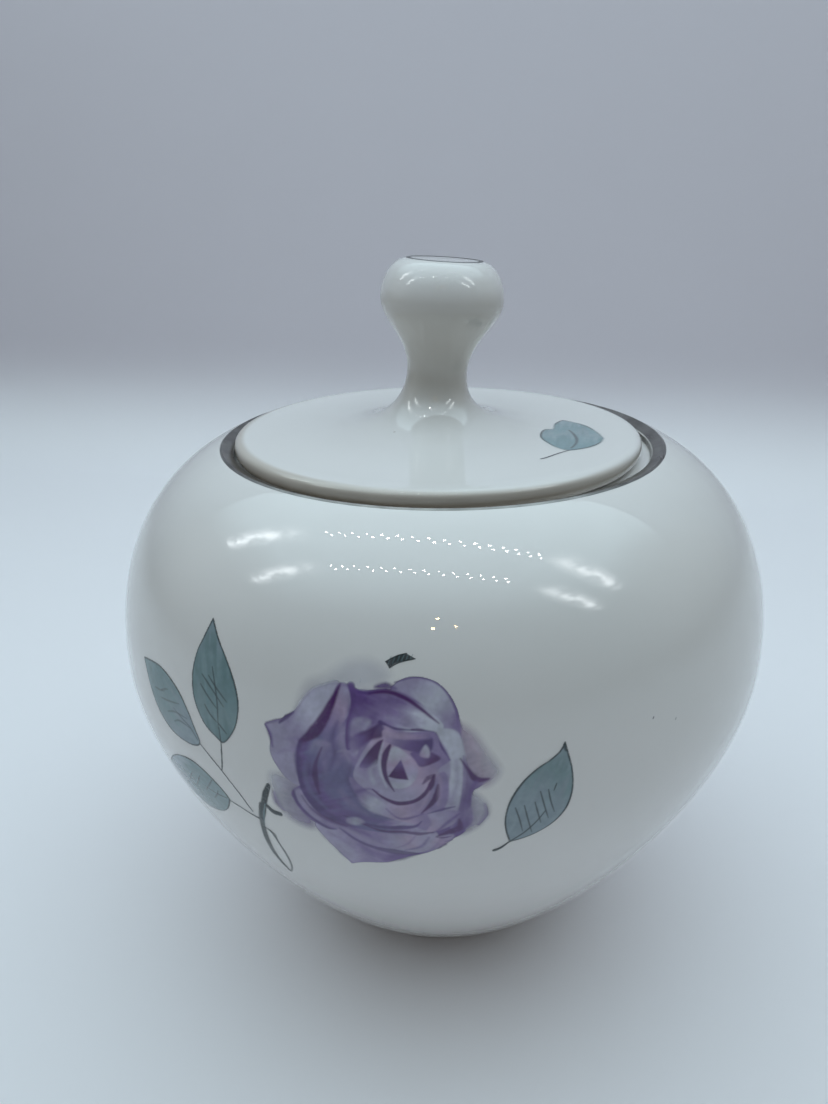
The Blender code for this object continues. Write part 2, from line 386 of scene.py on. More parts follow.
def glazed(name, shade_of):
    """Clear glaze over white porcelain, clouded, faintly rippled and with a few specks of iron in it."""
    material, shader, start = new_material(
        name, IOR=1.5, Coat_Weight=0.35, Coat_Roughness=0.015, Coat_IOR=1.5
    )
    place = start.node("ShaderNodeTexCoord", output=3)
    cloud = start.noise(place, 22.0, 3.0).between(0.35, 0.65)
    tint = cloud.blend((0.790, 0.767, 0.744, 1.0), (0.812, 0.782, 0.762, 1.0))
    tint = shade_of(start, place, tint)
    cell = start.node("ShaderNodeTexVoronoi", {}, {"Vector": place, "Scale": 130.0})
    few = start.noise(place, 61.0, 0.0).between(0.66, 0.68)
    speck = (1.0 - cell.between(0.03, 0.06)) * few
    ripple = start.noise(place, 70.0, 1.0) + 0.25 * start.noise(place, 420.0, 2.0)
    wave = start.node("ShaderNodeBump", {}, {"Strength": 0.035, "Distance": 0.0006, "Height": ripple})
    feed(
        shader,
        Base_Color=(0.7 * speck).blend(tint, (0.30, 0.22, 0.15, 1.0)),
        Roughness=0.008 + 0.02 * start.noise(place, 35.0, 3.0),
        Normal=wave,
    )
    return material


def pooled_low(start, place, tint):
    """The glaze ran down before it set, and is a little thicker and greener round the foot."""
    height = start.node("ShaderNodeSeparateXYZ", {}, {0: place}, output=2)
    thick = 0.5 * (1.0 - height.between(0.001, 0.012))
    return thick.blend(tint, (0.70, 0.74, 0.72, 1.0))


bowl.data.materials.append(glazed("bowl_glaze", pooled_low))
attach(bowl, "bowl")
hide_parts("bowl_body")

# ---------------------------------------------------------------- the lid and its knob
# A pressed plate with a rolled edge and a locating flange underneath. The knob was cast in its own mould
# and stuck on with slip before the glaze, so the two are one surface, and the knob leans a little.
plate_low, plate_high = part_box("lid_plate")
lid_centre = (plate_low.x + plate_high.x) / 2
lid_radius = (plate_high.x - plate_low.x) / 2
flange_depth = 0.0047
under = plate_low.z + flange_depth
plate_top = under + 0.0031
knob_base = plate_high.z

knob_top = (0.0057, knob_base + 0.0249)
knob_wide = (0.0094, knob_base + 0.0192)
knob_waist = (0.0047, knob_base + 0.0084)
flare_end = (0.0165, plate_top + 0.00045)
edge_inner = (lid_radius - 0.0016, plate_top - 0.0001)
edge_top = (lid_radius, under + 0.0019)
edge_bottom = (lid_radius, under + 0.0014)
outline = [(0.0, knob_top[1] + 0.0001), (0.0030, knob_top[1] + 0.00007), knob_top]
outline += bend(knob_top, (0.0078, knob_top[1] - 0.0002), (0.0094, knob_base + 0.0220), knob_wide, 14)
outline += bend(knob_wide, (0.0094, knob_base + 0.0158), (0.0047, knob_base + 0.0134), knob_waist, 20)
outline += bend(knob_waist, (0.0047, knob_base + 0.0035), (0.0080, plate_top + 0.0010), flare_end, 20)
outline += bend(flare_end, (0.021, plate_top + 0.0001), (0.027, plate_top - 0.0001), edge_inner, 6)
outline += bend(
    edge_inner, (lid_radius - 0.0006, plate_top - 0.0001), (lid_radius, plate_top - 0.0005), edge_top, 6,
)
outline += [edge_bottom]
edge_under = (lid_radius - 0.0014, under)
outline += bend(edge_bottom, (lid_radius, under + 0.0006), (lid_radius - 0.0006, under), edge_under, 6)
flange_out = [(0.0283, under), (0.0283, plate_low.z), (0.0261, plate_low.z), (0.0261, under)]
outline += round_off(outline[-1], flange_out[0], flange_out[1], 0.0005)
outline += round_off(flange_out[0], flange_out[1], flange_out[2], 0.0006)
outline += round_off(flange_out[1], flange_out[2], flange_out[3], 0.0006)
outline += round_off(flange_out[2], flange_out[3], (0.010, under), 0.0010)
outline += round_off((0.010, under), (0.0016, under), (0.0016, under + 0.004), 0.0004)
outline += [(0.0016, under + 0.012), (0.0, under + 0.0125)]
lid = throw("lid_with_knob", outline, 192)


def lean_over(piece):
    """Leans what stands on the plate a little to the right, and sets the piece where the lid rests."""
    lean = radians(3.8)
    lean_start = plate_high.z - 0.0006
    lean_height = 0.0066
    shift = -0.0005
    for vertex in piece.data.vertices:
        height = vertex.co.z - plate_high.z
        if vertex.co.z > lean_start and vertex.co.xy.length < flare_end[0]:
            share = min((vertex.co.z - lean_start) / lean_height, 1.0)
            share = share * share * (3 - 2 * share)
            across = vertex.co.x
            vertex.co.x = across * cos(lean * share) + height * sin(lean * share) + shift * share
            vertex.co.z = plate_high.z + height * cos(lean * share) - across * sin(lean * share)
        vertex.co.x += lid_centre


def knob_and_edge_painted_shade(start, place, tint):
    """Painted shade on the knob, darker and warmer up to its widest part, and a dark brown painted reflection
    of the platinum band, with painted shade, round the edge of the plate, darkest low down.
    """
    height = start.node("ShaderNodeSeparateXYZ", {}, {0: place}, output=2)
    on_knob = height.between(plate_top + 0.0012, plate_top + 0.009)
    on_knob = on_knob * (1.0 - height.between(knob_wide[1] - 0.002, knob_wide[1] + 0.003))
    away = start.node("ShaderNodeVectorMath", {"operation": "MULTIPLY"}, {0: place, 1: (1.0, 1.0, 0.0)})
    radius = start.node("ShaderNodeVectorMath", {"operation": "LENGTH"}, {0: away}, output=1)
    on_edge = radius.between(lid_radius - 0.0012, lid_radius - 0.0002)
    # the knob is darkened and warmed as painted shade
    knob_painted_shade = on_knob.blend(tint, (0.55, 0.515, 0.47, 1.0))
    low_on_edge = 1.0 - height.between(under + 0.0002, plate_top - 0.0008)
    # the plate's edge is darkened to brown as a painted reflection of the platinum band and painted shade,
    # darkest low down
    edge_painted_reflection = low_on_edge.blend((0.60, 0.54, 0.48, 1.0), (0.36, 0.28, 0.21, 1.0))
    return on_edge.blend(knob_painted_shade, edge_painted_reflection)


lean_over(lid)
# the lid's glaze carries painted shade on the knob and a painted reflection round the plate's edge
lid.data.materials.append(glazed("lid_glaze", knob_and_edge_painted_shade))
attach(lid, "lid")
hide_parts("lid_plate", "lid_knob")

# ---------------------------------------------------------------- the platinum band on the lip
# Bright platinum brushed on to the glazed lip on a banding wheel, then fired. The film is thin, and a
# little worn.


def platinum(name, dull, bright):
    """Bright metal film with faint brush marks, and darker where it has worn."""
    material, shader, start = new_material(name, Metallic=1.0)
    place = start.node("ShaderNodeTexCoord", output=3)
    worn = start.noise(place, 260.0, 3.0).between(0.3, 0.7)
    feed(
        shader,
        Base_Color=worn.blend((*dull, 1.0), (*bright, 1.0)),
        Roughness=0.22 + 0.16 * start.noise(place, 500.0, 2.0),
    )
    return material


film = 0.00004
band = [
    (lip[0] + 0.00035, lip[1] - 0.00018 + film),
    (lip[0], lip[1] + film),
    (lip_inside[0] + 0.0002, lip_inside[1] + 0.0001 + film),
    (lip_inside[0], lip_inside[1] - 0.0001),
    (lip[0], lip[1] - 0.00035),
    (lip[0] + 0.00035, lip[1] - 0.00018 + film),
]
band_piece = throw("platinum_band", band, 256)
band_piece.data.materials.append(platinum("platinum", (0.165, 0.16, 0.155), (0.26, 0.255, 0.245)))
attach(band_piece, "bowl")

# a thin, duller platinum film down the inside of the lip, below its bright corner, put there as painted shade
# on the wall of the rebate
wall_slope = (lip_inside[0] - rebate_foot[0]) / (lip_inside[1] - rebate_foot[1])
run_top = lip_inside[1] - 0.0003
run_end = rebate_foot[1] + 0.0004
run_top_radius = lip_inside[0] - 0.0003 * wall_slope
run_end_radius = rebate_foot[0] + 0.0004 * wall_slope
run = [
    (run_top_radius + 0.0001, run_top),
    (run_top_radius - film, run_top),
    (run_end_radius - film, run_end),
    (run_end_radius + 0.0001, run_end),
    (run_top_radius + 0.0001, run_top),
]
lip_wall_shade_piece = throw("lip_wall_painted_shade", run, 256)
# this dull metal film stands for the shade on the wall of the rebate, as painted shade
lip_wall_shade_piece.data.materials.append(platinum("thin_platinum_painted_shade", (0.24, 0.235, 0.22), (0.36, 0.35, 0.335)))
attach(lip_wall_shade_piece, "bowl")

# ---------------------------------------------------------------- the platinum line on the knob
# A finer and duller line of platinum, drawn round the flat top of the knob and fired.
line_height = knob_top[1] + film
line = [
    (0.0058, line_height - 0.00003),
    (0.0052, line_height),
    (0.0052, line_height - 0.0002),
    (0.0057, line_height - 0.0002),
    (0.0058, line_height - 0.00003),
]
knob_line = throw("platinum_knob_line", line, 96)
lean_over(knob_line)
knob_line.data.materials.append(platinum("dull_platinum", (0.07, 0.07, 0.075), (0.13, 0.13, 0.135)))
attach(knob_line, "lid")

# ---------------------------------------------------------------- the ground foot
# The underside of the foot ring was wiped and ground flat after firing, so the bare porcelain shows.
bare, bare_shader, start = new_material("bare_porcelain", IOR=1.45)
place = start.node("ShaderNodeTexCoord", output=3)
gritty = start.noise(place, 700.0, 4.0)
scored = start.node("ShaderNodeBump", {}, {"Strength": 0.3, "Distance": 0.0001, "Height": gritty})
feed(
    bare_shader,
    Base_Color=gritty.between(0.3, 0.7).blend((0.50, 0.47, 0.42, 1.0), (0.72, 0.69, 0.64, 1.0)),
    Roughness=0.7 + 0.2 * gritty,
    Normal=scored,
)
ground = [(0.0187, 0.0001), (0.0187, -0.00001), (0.0202, -0.00001), (0.0202, 0.0001)]
bare_ring = throw("bare_foot_ring", ground, 256)
bare_ring.data.materials.append(bare)
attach(bare_ring, "bowl")

# ---------------------------------------------------------------- the printed rose
# A ceramic transfer: a thin film of coloured glaze printed on paper, slid on to the fired bowl and fired
# again. The rose is laid in washes of lilac and violet, each petal from its root to its edge.


class Transfer:
    """A sheet of print. It is painted flat, in millimetres, and then laid on the glaze and trimmed."""

    def __init__(self, name, low, high, spacing):
        across = round((high[0] - low[0]) / spacing)
        up = round((high[1] - low[1]) / spacing)
        bpy.ops.object.select_all(action="DESELECT")
        bpy.ops.mesh.primitive_grid_add(x_subdivisions=across, y_subdivisions=up, size=1.0)
        self.piece = bpy.context.object
        self.piece.name = name
        flat = np.empty(3 * len(self.piece.data.vertices), np.float32)
        self.piece.data.vertices.foreach_get("co", flat)
        flat = flat.reshape(-1, 3).astype(float)
        self.x = low[0] + (flat[:, 0] + 0.5) * (high[0] - low[0])
        self.y = low[1] + (flat[:, 1] + 0.5) * (high[1] - low[1])
        self.colour = np.ones((len(flat), 3))
        self.cover = np.zeros(len(flat))
        self.chance = np.random.default_rng(7)

    def near(self, line, reach):
        """The places within reach of a line's box."""
        low = line.min(0) - reach
        high = line.max(0) + reach
        inside = (self.x > low[0]) & (self.x < high[0]) & (self.y > low[1]) & (self.y < high[1])
        return np.nonzero(inside)[0]

    def follow(self, line, places):
        """Each place's distance from a line, and how far along the line its nearest point is."""
        x, y = self.x[places], self.y[places]
        nearest = np.full(len(places), np.inf)
        along = np.zeros(len(places))
        for step, (first, second) in enumerate(zip(line, line[1:])):
            run = second - first
            share = (x - first[0]) * run[0] + (y - first[1]) * run[1]
            share = np.clip(share / max(run @ run, 1e-12), 0.0, 1.0)
            away = np.hypot(x - first[0] - share * run[0], y - first[1] - share * run[1])
            closer = away < nearest
            nearest[closer] = away[closer]
            along[closer] = (step + share[closer]) / (len(line) - 1)
        return nearest, along

    def within(self, line, places):
        """Whether each place is inside a closed line."""
        x, y = self.x[places], self.y[places]
        inside = np.zeros(len(places), bool)
        for first, second in zip(line, line[1:]):
            if first[1] != second[1]:
                crossing = (first[1] > y) != (second[1] > y)
                side = first[0] + (y - first[1]) * (second[0] - first[0]) / (second[1] - first[1])
                inside ^= crossing & (x < side)
        return inside

    def lay_colour(self, places, colour, cover):
        """Adds a wash over what is already there."""
        under = self.cover[places] * (1 - cover)
        total = np.maximum(under + cover, 1e-6)
        mixed = (self.colour[places] * under[:, None] + colour * cover[:, None]) / total[:, None]
        self.colour[places] = mixed
        self.cover[places] = under + cover

    def grain(self, places, direction, fine, coarse):
        """Soft uneven streaks that run along a direction, about -1 to 1."""
        along = (self.x[places] * direction[0] + self.y[places] * direction[1]) / coarse
        across = (self.x[places] * direction[1] - self.y[places] * direction[0]) / fine
        total = np.zeros(len(places))
        tile = 64
        for octave in (1.0, 2.0):
            dots = self.chance.uniform(-1, 1, (tile, tile))
            column, row = along * octave, across * octave
            left, low = np.floor(column).astype(int), np.floor(row).astype(int)
            right_share, up_share = smooth(0, 1, column - left), smooth(0, 1, row - low)
            rows = []
            for level in (low % tile, (low + 1) % tile):
                left_dot, right_dot = dots[left % tile, level], dots[(left + 1) % tile, level]
                rows.append(left_dot * (1 - right_share) + right_dot * right_share)
            total += (rows[0] * (1 - up_share) + rows[1] * up_share) / octave
        return total / 1.5

    def petal(self, outline, root, tip, shades, soft=0.16, strength=1.0, streaks=0.10, rim=0.0):
        """A closed shape whose shades change evenly from its root to its tip."""
        line = smooth_line(outline, closed=True)
        places = self.near(line, 2 * soft)
        away, _ = self.follow(line, places)
        depth = np.where(self.within(line, places), away, -away)
        run = np.subtract(tip, root)
        share = ((self.x[places] - root[0]) * run[0] + (self.y[places] - root[1]) * run[1]) / (run @ run)
        grain = self.grain(places, run / np.hypot(*run), 0.7, 4.0)
        share = np.clip(share + streaks * grain, 0.0, 1.0)
        stops = np.linspace(0.0, 1.0, len(shades))
        colour = np.stack([np.interp(share, stops, [s[i] for s in shades]) for i in range(3)], 1)
        colour *= (1 + 0.5 * streaks * grain + rim * (1 - smooth(0.0, 0.9, depth)))[:, None]
        self.lay_colour(places, colour, strength * smooth(-soft, soft, depth))

    def brush(self, points, widths, colour, soft=0.12, strength=1.0, dry=0.0):
        """A line whose width changes along it. A dry brush leaves it broken."""
        line = smooth_line(points)
        places = self.near(line, max(widths) + 2 * soft)
        away, along = self.follow(line, places)
        half = np.interp(along, np.linspace(0.0, 1.0, len(widths)), widths) / 2
        cover = strength * (1 - smooth(-soft, soft, away - half))
        if dry:
            cover = cover * (1 - dry * smooth(0.0, 0.8, self.grain(places, (0.7, 0.7), 0.35, 0.35)))
        self.lay_colour(places, np.array(colour), cover)

    def mottle(self, size, amount):
        """Makes the washes a little uneven, as pigment settles."""
        places = np.arange(len(self.x))
        self.colour *= (1 + amount * self.grain(places, (0.8, 0.6), size, size))[:, None]

    def lay_on(self, surface, body, material):
        mesh = self.piece.data
        mesh.vertices.foreach_set("co", surface(self.x, self.y).astype(np.float32).ravel())
        print_colour = mesh.color_attributes.new(name="print", type="FLOAT_COLOR", domain="POINT")
        painted = np.column_stack((self.colour, self.cover)).astype(np.float32)
        print_colour.data.foreach_set("color", painted.ravel())
        mesh.update()
        bpy.context.view_layer.objects.active = self.piece
        bpy.ops.object.mode_set(mode="EDIT")
        bpy.context.tool_settings.mesh_select_mode = (True, False, False)
        bpy.ops.mesh.select_all(action="DESELECT")
        bpy.ops.object.mode_set(mode="OBJECT")
        least_cover = 0.006
        mesh.vertices.foreach_set("select", self.cover < least_cover)
        bpy.ops.object.mode_set(mode="EDIT")
        bpy.ops.mesh.delete(type="VERT")
        bpy.ops.object.mode_set(mode="OBJECT")
        bpy.ops.object.shade_smooth()
        mesh.materials.append(material)
        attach(self.piece, body)


def smooth(low, high, value):
    """0 below low, 1 above high, and an even step between."""
    share = np.clip((value - low) / (high - low), 0.0, 1.0)
    return share * share * (3 - 2 * share)


def smooth_line(points, closed=False, pieces=7):
    """A flowing line through a few points. A point given twice makes a sharp corner."""
    points = np.array(points, float)
    ends = (points[-1:], points[:2]) if closed else (points[:1], points[-1:])
    knots = np.vstack((ends[0], points, ends[1]))
    line = []
    for index in range(1, len(knots) - 2):
        first, second, third, fourth = knots[index - 1 : index + 3]
        if np.allclose(second, third):
            continue
        for t in np.arange(pieces) / pieces:
            turn_in = (third - first) / 2
            turn_out = (fourth - second) / 2
            t2, t3 = t * t, t * t * t
            line.append(
                second * (2 * t3 - 3 * t2 + 1)
                + turn_in * (t3 - 2 * t2 + t)
                + third * (3 * t2 - 2 * t3)
                + turn_out * (t3 - t2)
            )
    line.append(knots[-2])
    return np.array(line)


outside = [foot] + bend(foot, (0.0289, 0.0069), (belly[0], 0.0371), belly, 60)
outside += bend(belly, (belly[0], 0.0675), (0.0494, 0.0813), lip, 60)
outside = np.array(outside)
climb = np.concatenate(([0.0], np.cumsum(np.hypot(*np.diff(outside, axis=0).T))))


print_lift = 0.00003


def on_bowl(turn, height):
    """Where flat places land on the bowl: x goes round it from this turn, y climbs it from this height."""

    def surface(x, y):
        start = np.interp(height, outside[:, 1], climb)
        level = start + y / 1000
        radius = np.interp(level, climb, outside[:, 0])
        rise = np.interp(level, climb, outside[:, 1])
        ahead, behind = level + 0.0003, level - 0.0003
        run_out = np.interp(ahead, climb, outside[:, 0]) - np.interp(behind, climb, outside[:, 0])
        run_up = np.interp(ahead, climb, outside[:, 1]) - np.interp(behind, climb, outside[:, 1])
        length = np.hypot(run_out, run_up)
        radius_out = radius + print_lift * run_up / length
        angle = turn + x / 1000 / radius
        return np.column_stack(
            (radius_out * np.sin(angle), -radius_out * np.cos(angle), rise - print_lift * run_out / length)
        )

    return surface


fired_print, print_shader, start = new_material("fired_print", IOR=1.5, Coat_Weight=0.2)
printed = start.node("ShaderNodeAttribute", {"attribute_name": "print"})
printed_cover = start.node("ShaderNodeAttribute", {"attribute_name": "print"}, output=3)
place = start.node("ShaderNodeTexCoord", output=3)
uneven = start.noise(place, 900.0, 2.0).between(0.3, 0.7)
darker = start.node(
    "ShaderNodeMix",
    {"data_type": "RGBA", "blend_type": "MULTIPLY"},
    {"Factor": 0.12 * uneven, 6: printed, 7: (0.7, 0.65, 0.75, 1.0)},
    output=2,
)
print_wave = start.node("ShaderNodeBump", {}, {"Strength": 0.08, "Distance": 0.0002, "Height": uneven})
feed(
    print_shader,
    Base_Color=darker,
    Alpha=printed_cover * (0.96 + 0.04 * uneven),
    Roughness=0.06 + 0.08 * uneven,
    Normal=print_wave,
)

faint = (0.60, 0.60, 0.69)
pale = (0.42, 0.37, 0.53)
blush = (0.49, 0.37, 0.53)
lilac = (0.28, 0.21, 0.40)
slate = (0.165, 0.145, 0.30)
violet = (0.15, 0.085, 0.265)
deep = (0.09, 0.048, 0.185)
plum = (0.07, 0.008, 0.11)

rose = Transfer("rose_print", (-16.0, -16.0), (16.0, 17.5), 0.12)
# one even wash under the whole flower
rose.petal(
    [(-9.0, 4.0), (-5.0, 11.0), (0.0, 12.6), (6.0, 10.4), (9.4, 8.0), (10.2, 2.0), (8.6, -4.6),
     (2.0, -9.0), (-5.0, -6.6), (-9.2, -2.0)], (-6, 0), (8, 4), [lilac, lilac, pale], soft=0.4,
)
# the outermost petals, almost washed away
rose.petal(
    [(-9.6, 8.5), (-8.6, 12.2), (-6.2, 13.6), (-3.6, 15.6), (-0.5, 15.9), (1.2, 14.2), (-3.5, 11.5),
     (-7, 8.5)], (-6, 9), (-3, 16), [pale, faint, faint], soft=1.1, strength=0.34,
)
rose.petal(
    [(9.2, 8.9), (11.2, 8.1), (13.0, 5.6), (14.5, 3.1), (13.6, 1.4), (12.2, 1.2), (10.2, 3.4),
     (8.6, 6.0)], (9.5, 4), (14, 5.5), [lilac, blush, faint], soft=0.9, strength=0.55,
)
rose.petal(
    [(10.6, 0.6), (12.9, -1.2), (13.2, -3.2), (11.6, -5.4), (9.6, -6.2), (9.8, -2.5)], (9.5, -3),
    (13.2, -2), [lilac, pale, faint], soft=0.8, strength=0.6,
)
rose.petal(
    [(-14.0, -1.2), (-11.8, -0.4), (-8.6, -2.2), (-8.2, -7.6), (-10.6, -8.1), (-12.8, -6.2)], (-9, -4),
    (-14, -4), [lilac, pale, faint], soft=1.0, strength=0.6,
)
rose.brush([(-13.6, -3.6), (-13.4, -5.2), (-12.6, -6.2)], [0.5, 1.0, 0.4], lilac, soft=0.4, strength=0.55)
rose.brush([(12.9, -1.6), (13.1, -3.2), (12.2, -4.8)], [0.2, 0.6, 0.3], lilac, soft=0.3, strength=0.6)

# the pointed petal on the left
rose.petal(
    [(-14.3, 6.1), (-14.3, 6.1), (-12.4, 7.1), (-10.1, 8.8), (-8.2, 11.4), (-6.2, 12.6), (-4.6, 12.9),
     (-5.6, 8.0), (-8.6, 2.0), (-9.0, -1.2), (-11.0, -1.0), (-12.8, 0.7), (-13.7, 2.6), (-13.5, 4.6)],
    (-13.8, 4.6), (-7.2, 6.4), [pale, pale, lilac, pale], soft=0.22, strength=0.92,
)
rose.petal(
    [(-10.4, 8.2), (-8.4, 11.2), (-6.4, 12.6), (-4.8, 12.8), (-6.2, 9.0), (-8.8, 6.0), (-11.0, 5.6)],
    (-10.5, 6), (-6, 12.5), [pale, faint, faint], soft=0.6, strength=0.6,
)
rose.brush(
    [(-14.2, 6.0), (-13.6, 5.0), (-13.3, 3.4)], [0.25, 0.55, 0.25], violet, soft=0.25, strength=0.8,
)
rose.brush([(-14.1, 6.3), (-12.8, 6.9), (-12.0, 7.2)], [0.2, 0.4, 0.3], lilac, soft=0.22, strength=0.8)
rose.brush([(-12.2, 6.8), (-11.2, 7.8), (-10.2, 8.6)], [0.25, 0.55, 0.12], deep, soft=0.16, strength=0.85)
rose.brush([(-12.6, 2.6), (-11.6, 3.3), (-10.6, 3.5)], [0.1, 0.35, 0.1], lilac, soft=0.4, strength=0.5)

# the broad petal at the top right
rose.petal(
    [(1.8, 13.4), (3.6, 14.5), (6.3, 14.2), (8.2, 12.7), (9.4, 10.6), (9.8, 8.0), (10.2, 5.0),
     (8.4, 4.6), (6.6, 8.0), (4.2, 11.0), (2.0, 12.6)], (9.6, 7.5), (4.0, 13.2),
    [lilac, pale, faint, pale], soft=0.15, strength=0.95,
)
rose.brush(
    [(2.0, 13.8), (4.4, 14.5), (6.6, 14.0), (8.2, 12.6), (9.2, 10.7), (9.5, 8.8)],
    [0.12, 0.18, 0.22, 0.26, 0.3, 0.3], violet, soft=0.12, strength=0.75,
)
rose.brush([(9.0, 10.2), (9.4, 8.8), (9.5, 7.2)], [0.3, 1.0, 0.3], lilac, soft=0.35, strength=0.75)

# the great petals at the bottom
rose.petal(
    [(-8.2, -7.2), (-7.0, -9.8), (-5.4, -12.4), (-4.1, -14.6), (-4.1, -14.6), (-2.2, -13.7),
     (0.6, -13.0), (2.8, -11.5), (5.2, -10.4), (6.8, -9.4), (8.6, -7.6), (10.6, -5.6), (8.0, -4.0),
     (0.0, -5.0), (-6.0, -5.0)], (-6.0, -11.0), (4.0, -9.0), [pale, lilac, lilac, violet], soft=0.16,
)
rose.petal(
    [(-7.6, -8.2), (-6.2, -11.0), (-4.4, -13.6), (-2.4, -12.8), (-1.6, -10.6), (-4.2, -8.4)], (-2, -10),
    (-6, -12), [lilac, pale, pale], soft=0.7, strength=0.75,
)
rose.brush(
    [(-2.6, -9.9), (-1.0, -11.2), (1.4, -11.6), (3.2, -11.0)], [0.4, 1.2, 1.4, 0.4], violet, soft=0.7,
    strength=0.5,
)
rose.brush([(-6.6, -8.4), (-4.6, -9.4), (-2.6, -11.6)], [0.3, 0.8, 0.2], lilac, soft=0.6, strength=0.6)
rose.brush([(-5.6, -12.3), (-4.6, -13.6), (-4.1, -14.4)], [0.1, 0.2, 0.5], lilac, soft=0.2, strength=0.7)
rose.brush([(0.6, -12.4), (2.4, -11.2), (4.6, -10.4)], [0.8, 1.6, 0.2], violet, soft=0.5, strength=0.7)
rose.petal(
    [(-10.9, -2.4), (-10.6, -4.2), (-9.2, -6.2), (-6.8, -7.6), (-4.9, -7.3), (-3.2, -8.7), (-0.6, -10.1),
     (2.6, -10.6), (5.6, -9.8), (7.4, -7.4), (6.0, -5.0), (-1.0, -3.0), (-8.2, -1.0)], (-8.0, -4.0),
    (4.0, -8.0), [violet, lilac, lilac, pale], soft=0.15,
)
rose.petal(
    [(-10.6, -2.6), (-9.8, -4.6), (-7.8, -6.4), (-5.4, -7.0), (-4.6, -6.0), (-7.6, -4.2), (-9.6, -1.8)],
    (-6, -4.5), (-10, -5), [lilac, pale, pale], soft=0.3, strength=0.7,
)
rose.brush(
    [(-10.7, -2.4), (-10.2, -4.4), (-8.6, -6.2), (-6.6, -7.4), (-5.4, -7.4)], [0.3, 0.5, 0.4, 0.5, 0.15],
    deep, soft=0.16, strength=0.8,
)
rose.brush(
    [(-4.9, -7.0), (-3.2, -8.6), (-1.0, -9.8), (1.8, -10.3), (4.8, -10.3)], [0.3, 0.45, 0.5, 1.1, 0.2],
    deep, soft=0.2, strength=0.75,
)
rose.brush(
    [(-8.4, -4.8), (-6.0, -6.2), (-3.6, -6.6), (-1.0, -7.6)], [0.4, 1.2, 1.0, 0.3], violet, soft=0.5,
    strength=0.6,
)
rose.brush(
    [(-6.4, -6.6), (-3.8, -7.2), (-1.6, -8.6), (1.6, -9.4)], [0.2, 0.6, 0.8, 0.3], pale, soft=0.5,
    strength=0.5,
)
rose.petal(
    [(-1.4, -6.4), (1.0, -6.9), (4.4, -6.6), (6.4, -6.2), (5.2, -8.6), (3.0, -9.6), (0.6, -9.2)], (0, -8),
    (5.5, -7), [lilac, pale, blush, pale], soft=0.35, strength=0.8,
)
rose.brush([(6.2, -7.0), (5.2, -8.8), (3.2, -9.8)], [0.2, 0.5, 0.2], violet, soft=0.25, strength=0.6)
rose.brush([(4.6, -6.8), (3.6, -8.4), (2.2, -9.4)], [0.1, 0.3, 0.1], lilac, soft=0.2, strength=0.7)

# the petals that wrap the left side
rose.petal(
    [(-4.7, 12.9), (-5.8, 9.6), (-8.0, 6.8), (-9.6, 5.0), (-10.0, 2.6), (-9.9, -0.4), (-9.3, -2.6),
     (-7.6, -5.0), (-5.2, -6.2), (-2.0, -6.6), (2.0, -6.6), (6.2, -6.2), (7.8, -4.6), (5.0, -3.0),
     (0.0, -1.0), (-2.4, 2.0), (-2.0, 6.0), (-2.8, 10.0), (-3.0, 12.6)], (-9.4, -1.0), (0.5, 3.6),
    [deep, violet, slate, slate, lilac, pale], soft=0.15, streaks=0.2,
)
rose.petal(
    [(-4.6, 12.6), (-5.2, 10.6), (-6.4, 8.2), (-7.6, 6.4), (-6.2, 5.6), (-4.8, 6.4), (-3.6, 9.4),
     (-3.4, 12.4)], (-6.6, 6.5), (-3.8, 12), [slate, lilac, blush, pale], soft=0.25, strength=0.9,
)
rose.petal(
    [(-7.4, 5.6), (-8.6, 3.4), (-8.6, 1.0), (-7.4, 0.8), (-6.6, 3.6), (-5.6, 5.4)], (-8.4, 0.6),
    (-6.2, 5.6), [deep, slate, pale], soft=0.45, strength=0.7,
)
rose.petal(
    [(-5.6, 4.6), (-3.2, 5.0), (-2.2, 3.2), (-3.0, 0.4), (-4.4, -2.0), (-6.2, -1.6), (-6.8, 1.6)],
    (-6.2, -1), (-3.2, 4.6), [slate, slate, lilac], soft=0.6, strength=0.7, streaks=0.2,
)
rose.brush(
    [(-6.4, 7.4), (-6.0, 5.6), (-6.4, 3.6), (-6.2, 1.4)], [0.5, 1.1, 0.9, 0.3], lilac, soft=0.5,
    strength=0.5,
)
rose.brush([(-4.0, 7.8), (-4.0, 5.8), (-3.2, 3.6)], [0.3, 0.8, 0.2], pale, soft=0.5, strength=0.5)
rose.brush(
    [(-8.8, 2.4), (-8.9, 0.4), (-8.2, -2.0), (-6.4, -4.0)], [0.2, 0.7, 0.7, 0.2], slate, soft=0.4,
    strength=0.7,
)
rose.brush(
    [(-5.8, -2.6), (-4.0, -4.0), (-1.4, -4.6), (1.4, -4.8)], [0.4, 1.5, 1.2, 0.2], violet, soft=0.6,
    strength=0.65,
)
rose.brush([(-4.4, -0.8), (-3.2, -2.4), (-1.2, -3.8)], [0.4, 1.0, 0.3], lilac, soft=0.6, strength=0.55)
rose.brush([(-3.0, 2.8), (-3.4, 0.8), (-2.6, -1.2)], [0.2, 0.5, 0.2], deep, soft=0.4, strength=0.4)
rose.brush(
    [(-4.4, 13.0), (-5.4, 10.6), (-6.3, 8.6), (-7.6, 6.6), (-9.4, 5.0)], [0.15, 0.9, 1.3, 1.5, 0.4], plum,
    soft=0.22, strength=0.92, dry=0.15,
)
rose.brush(
    [(-9.4, 5.0), (-9.9, 3.0), (-9.8, 0.6), (-9.2, -1.6)], [0.4, 0.7, 0.6, 0.2], deep, soft=0.3,
    strength=0.75,
)
rose.brush(
    [(-6.6, 4.8), (-7.4, 2.6), (-7.6, 0.6), (-7.2, -1.8)], [0.12, 0.5, 0.8, 0.2], plum, soft=0.2,
    strength=0.7,
)
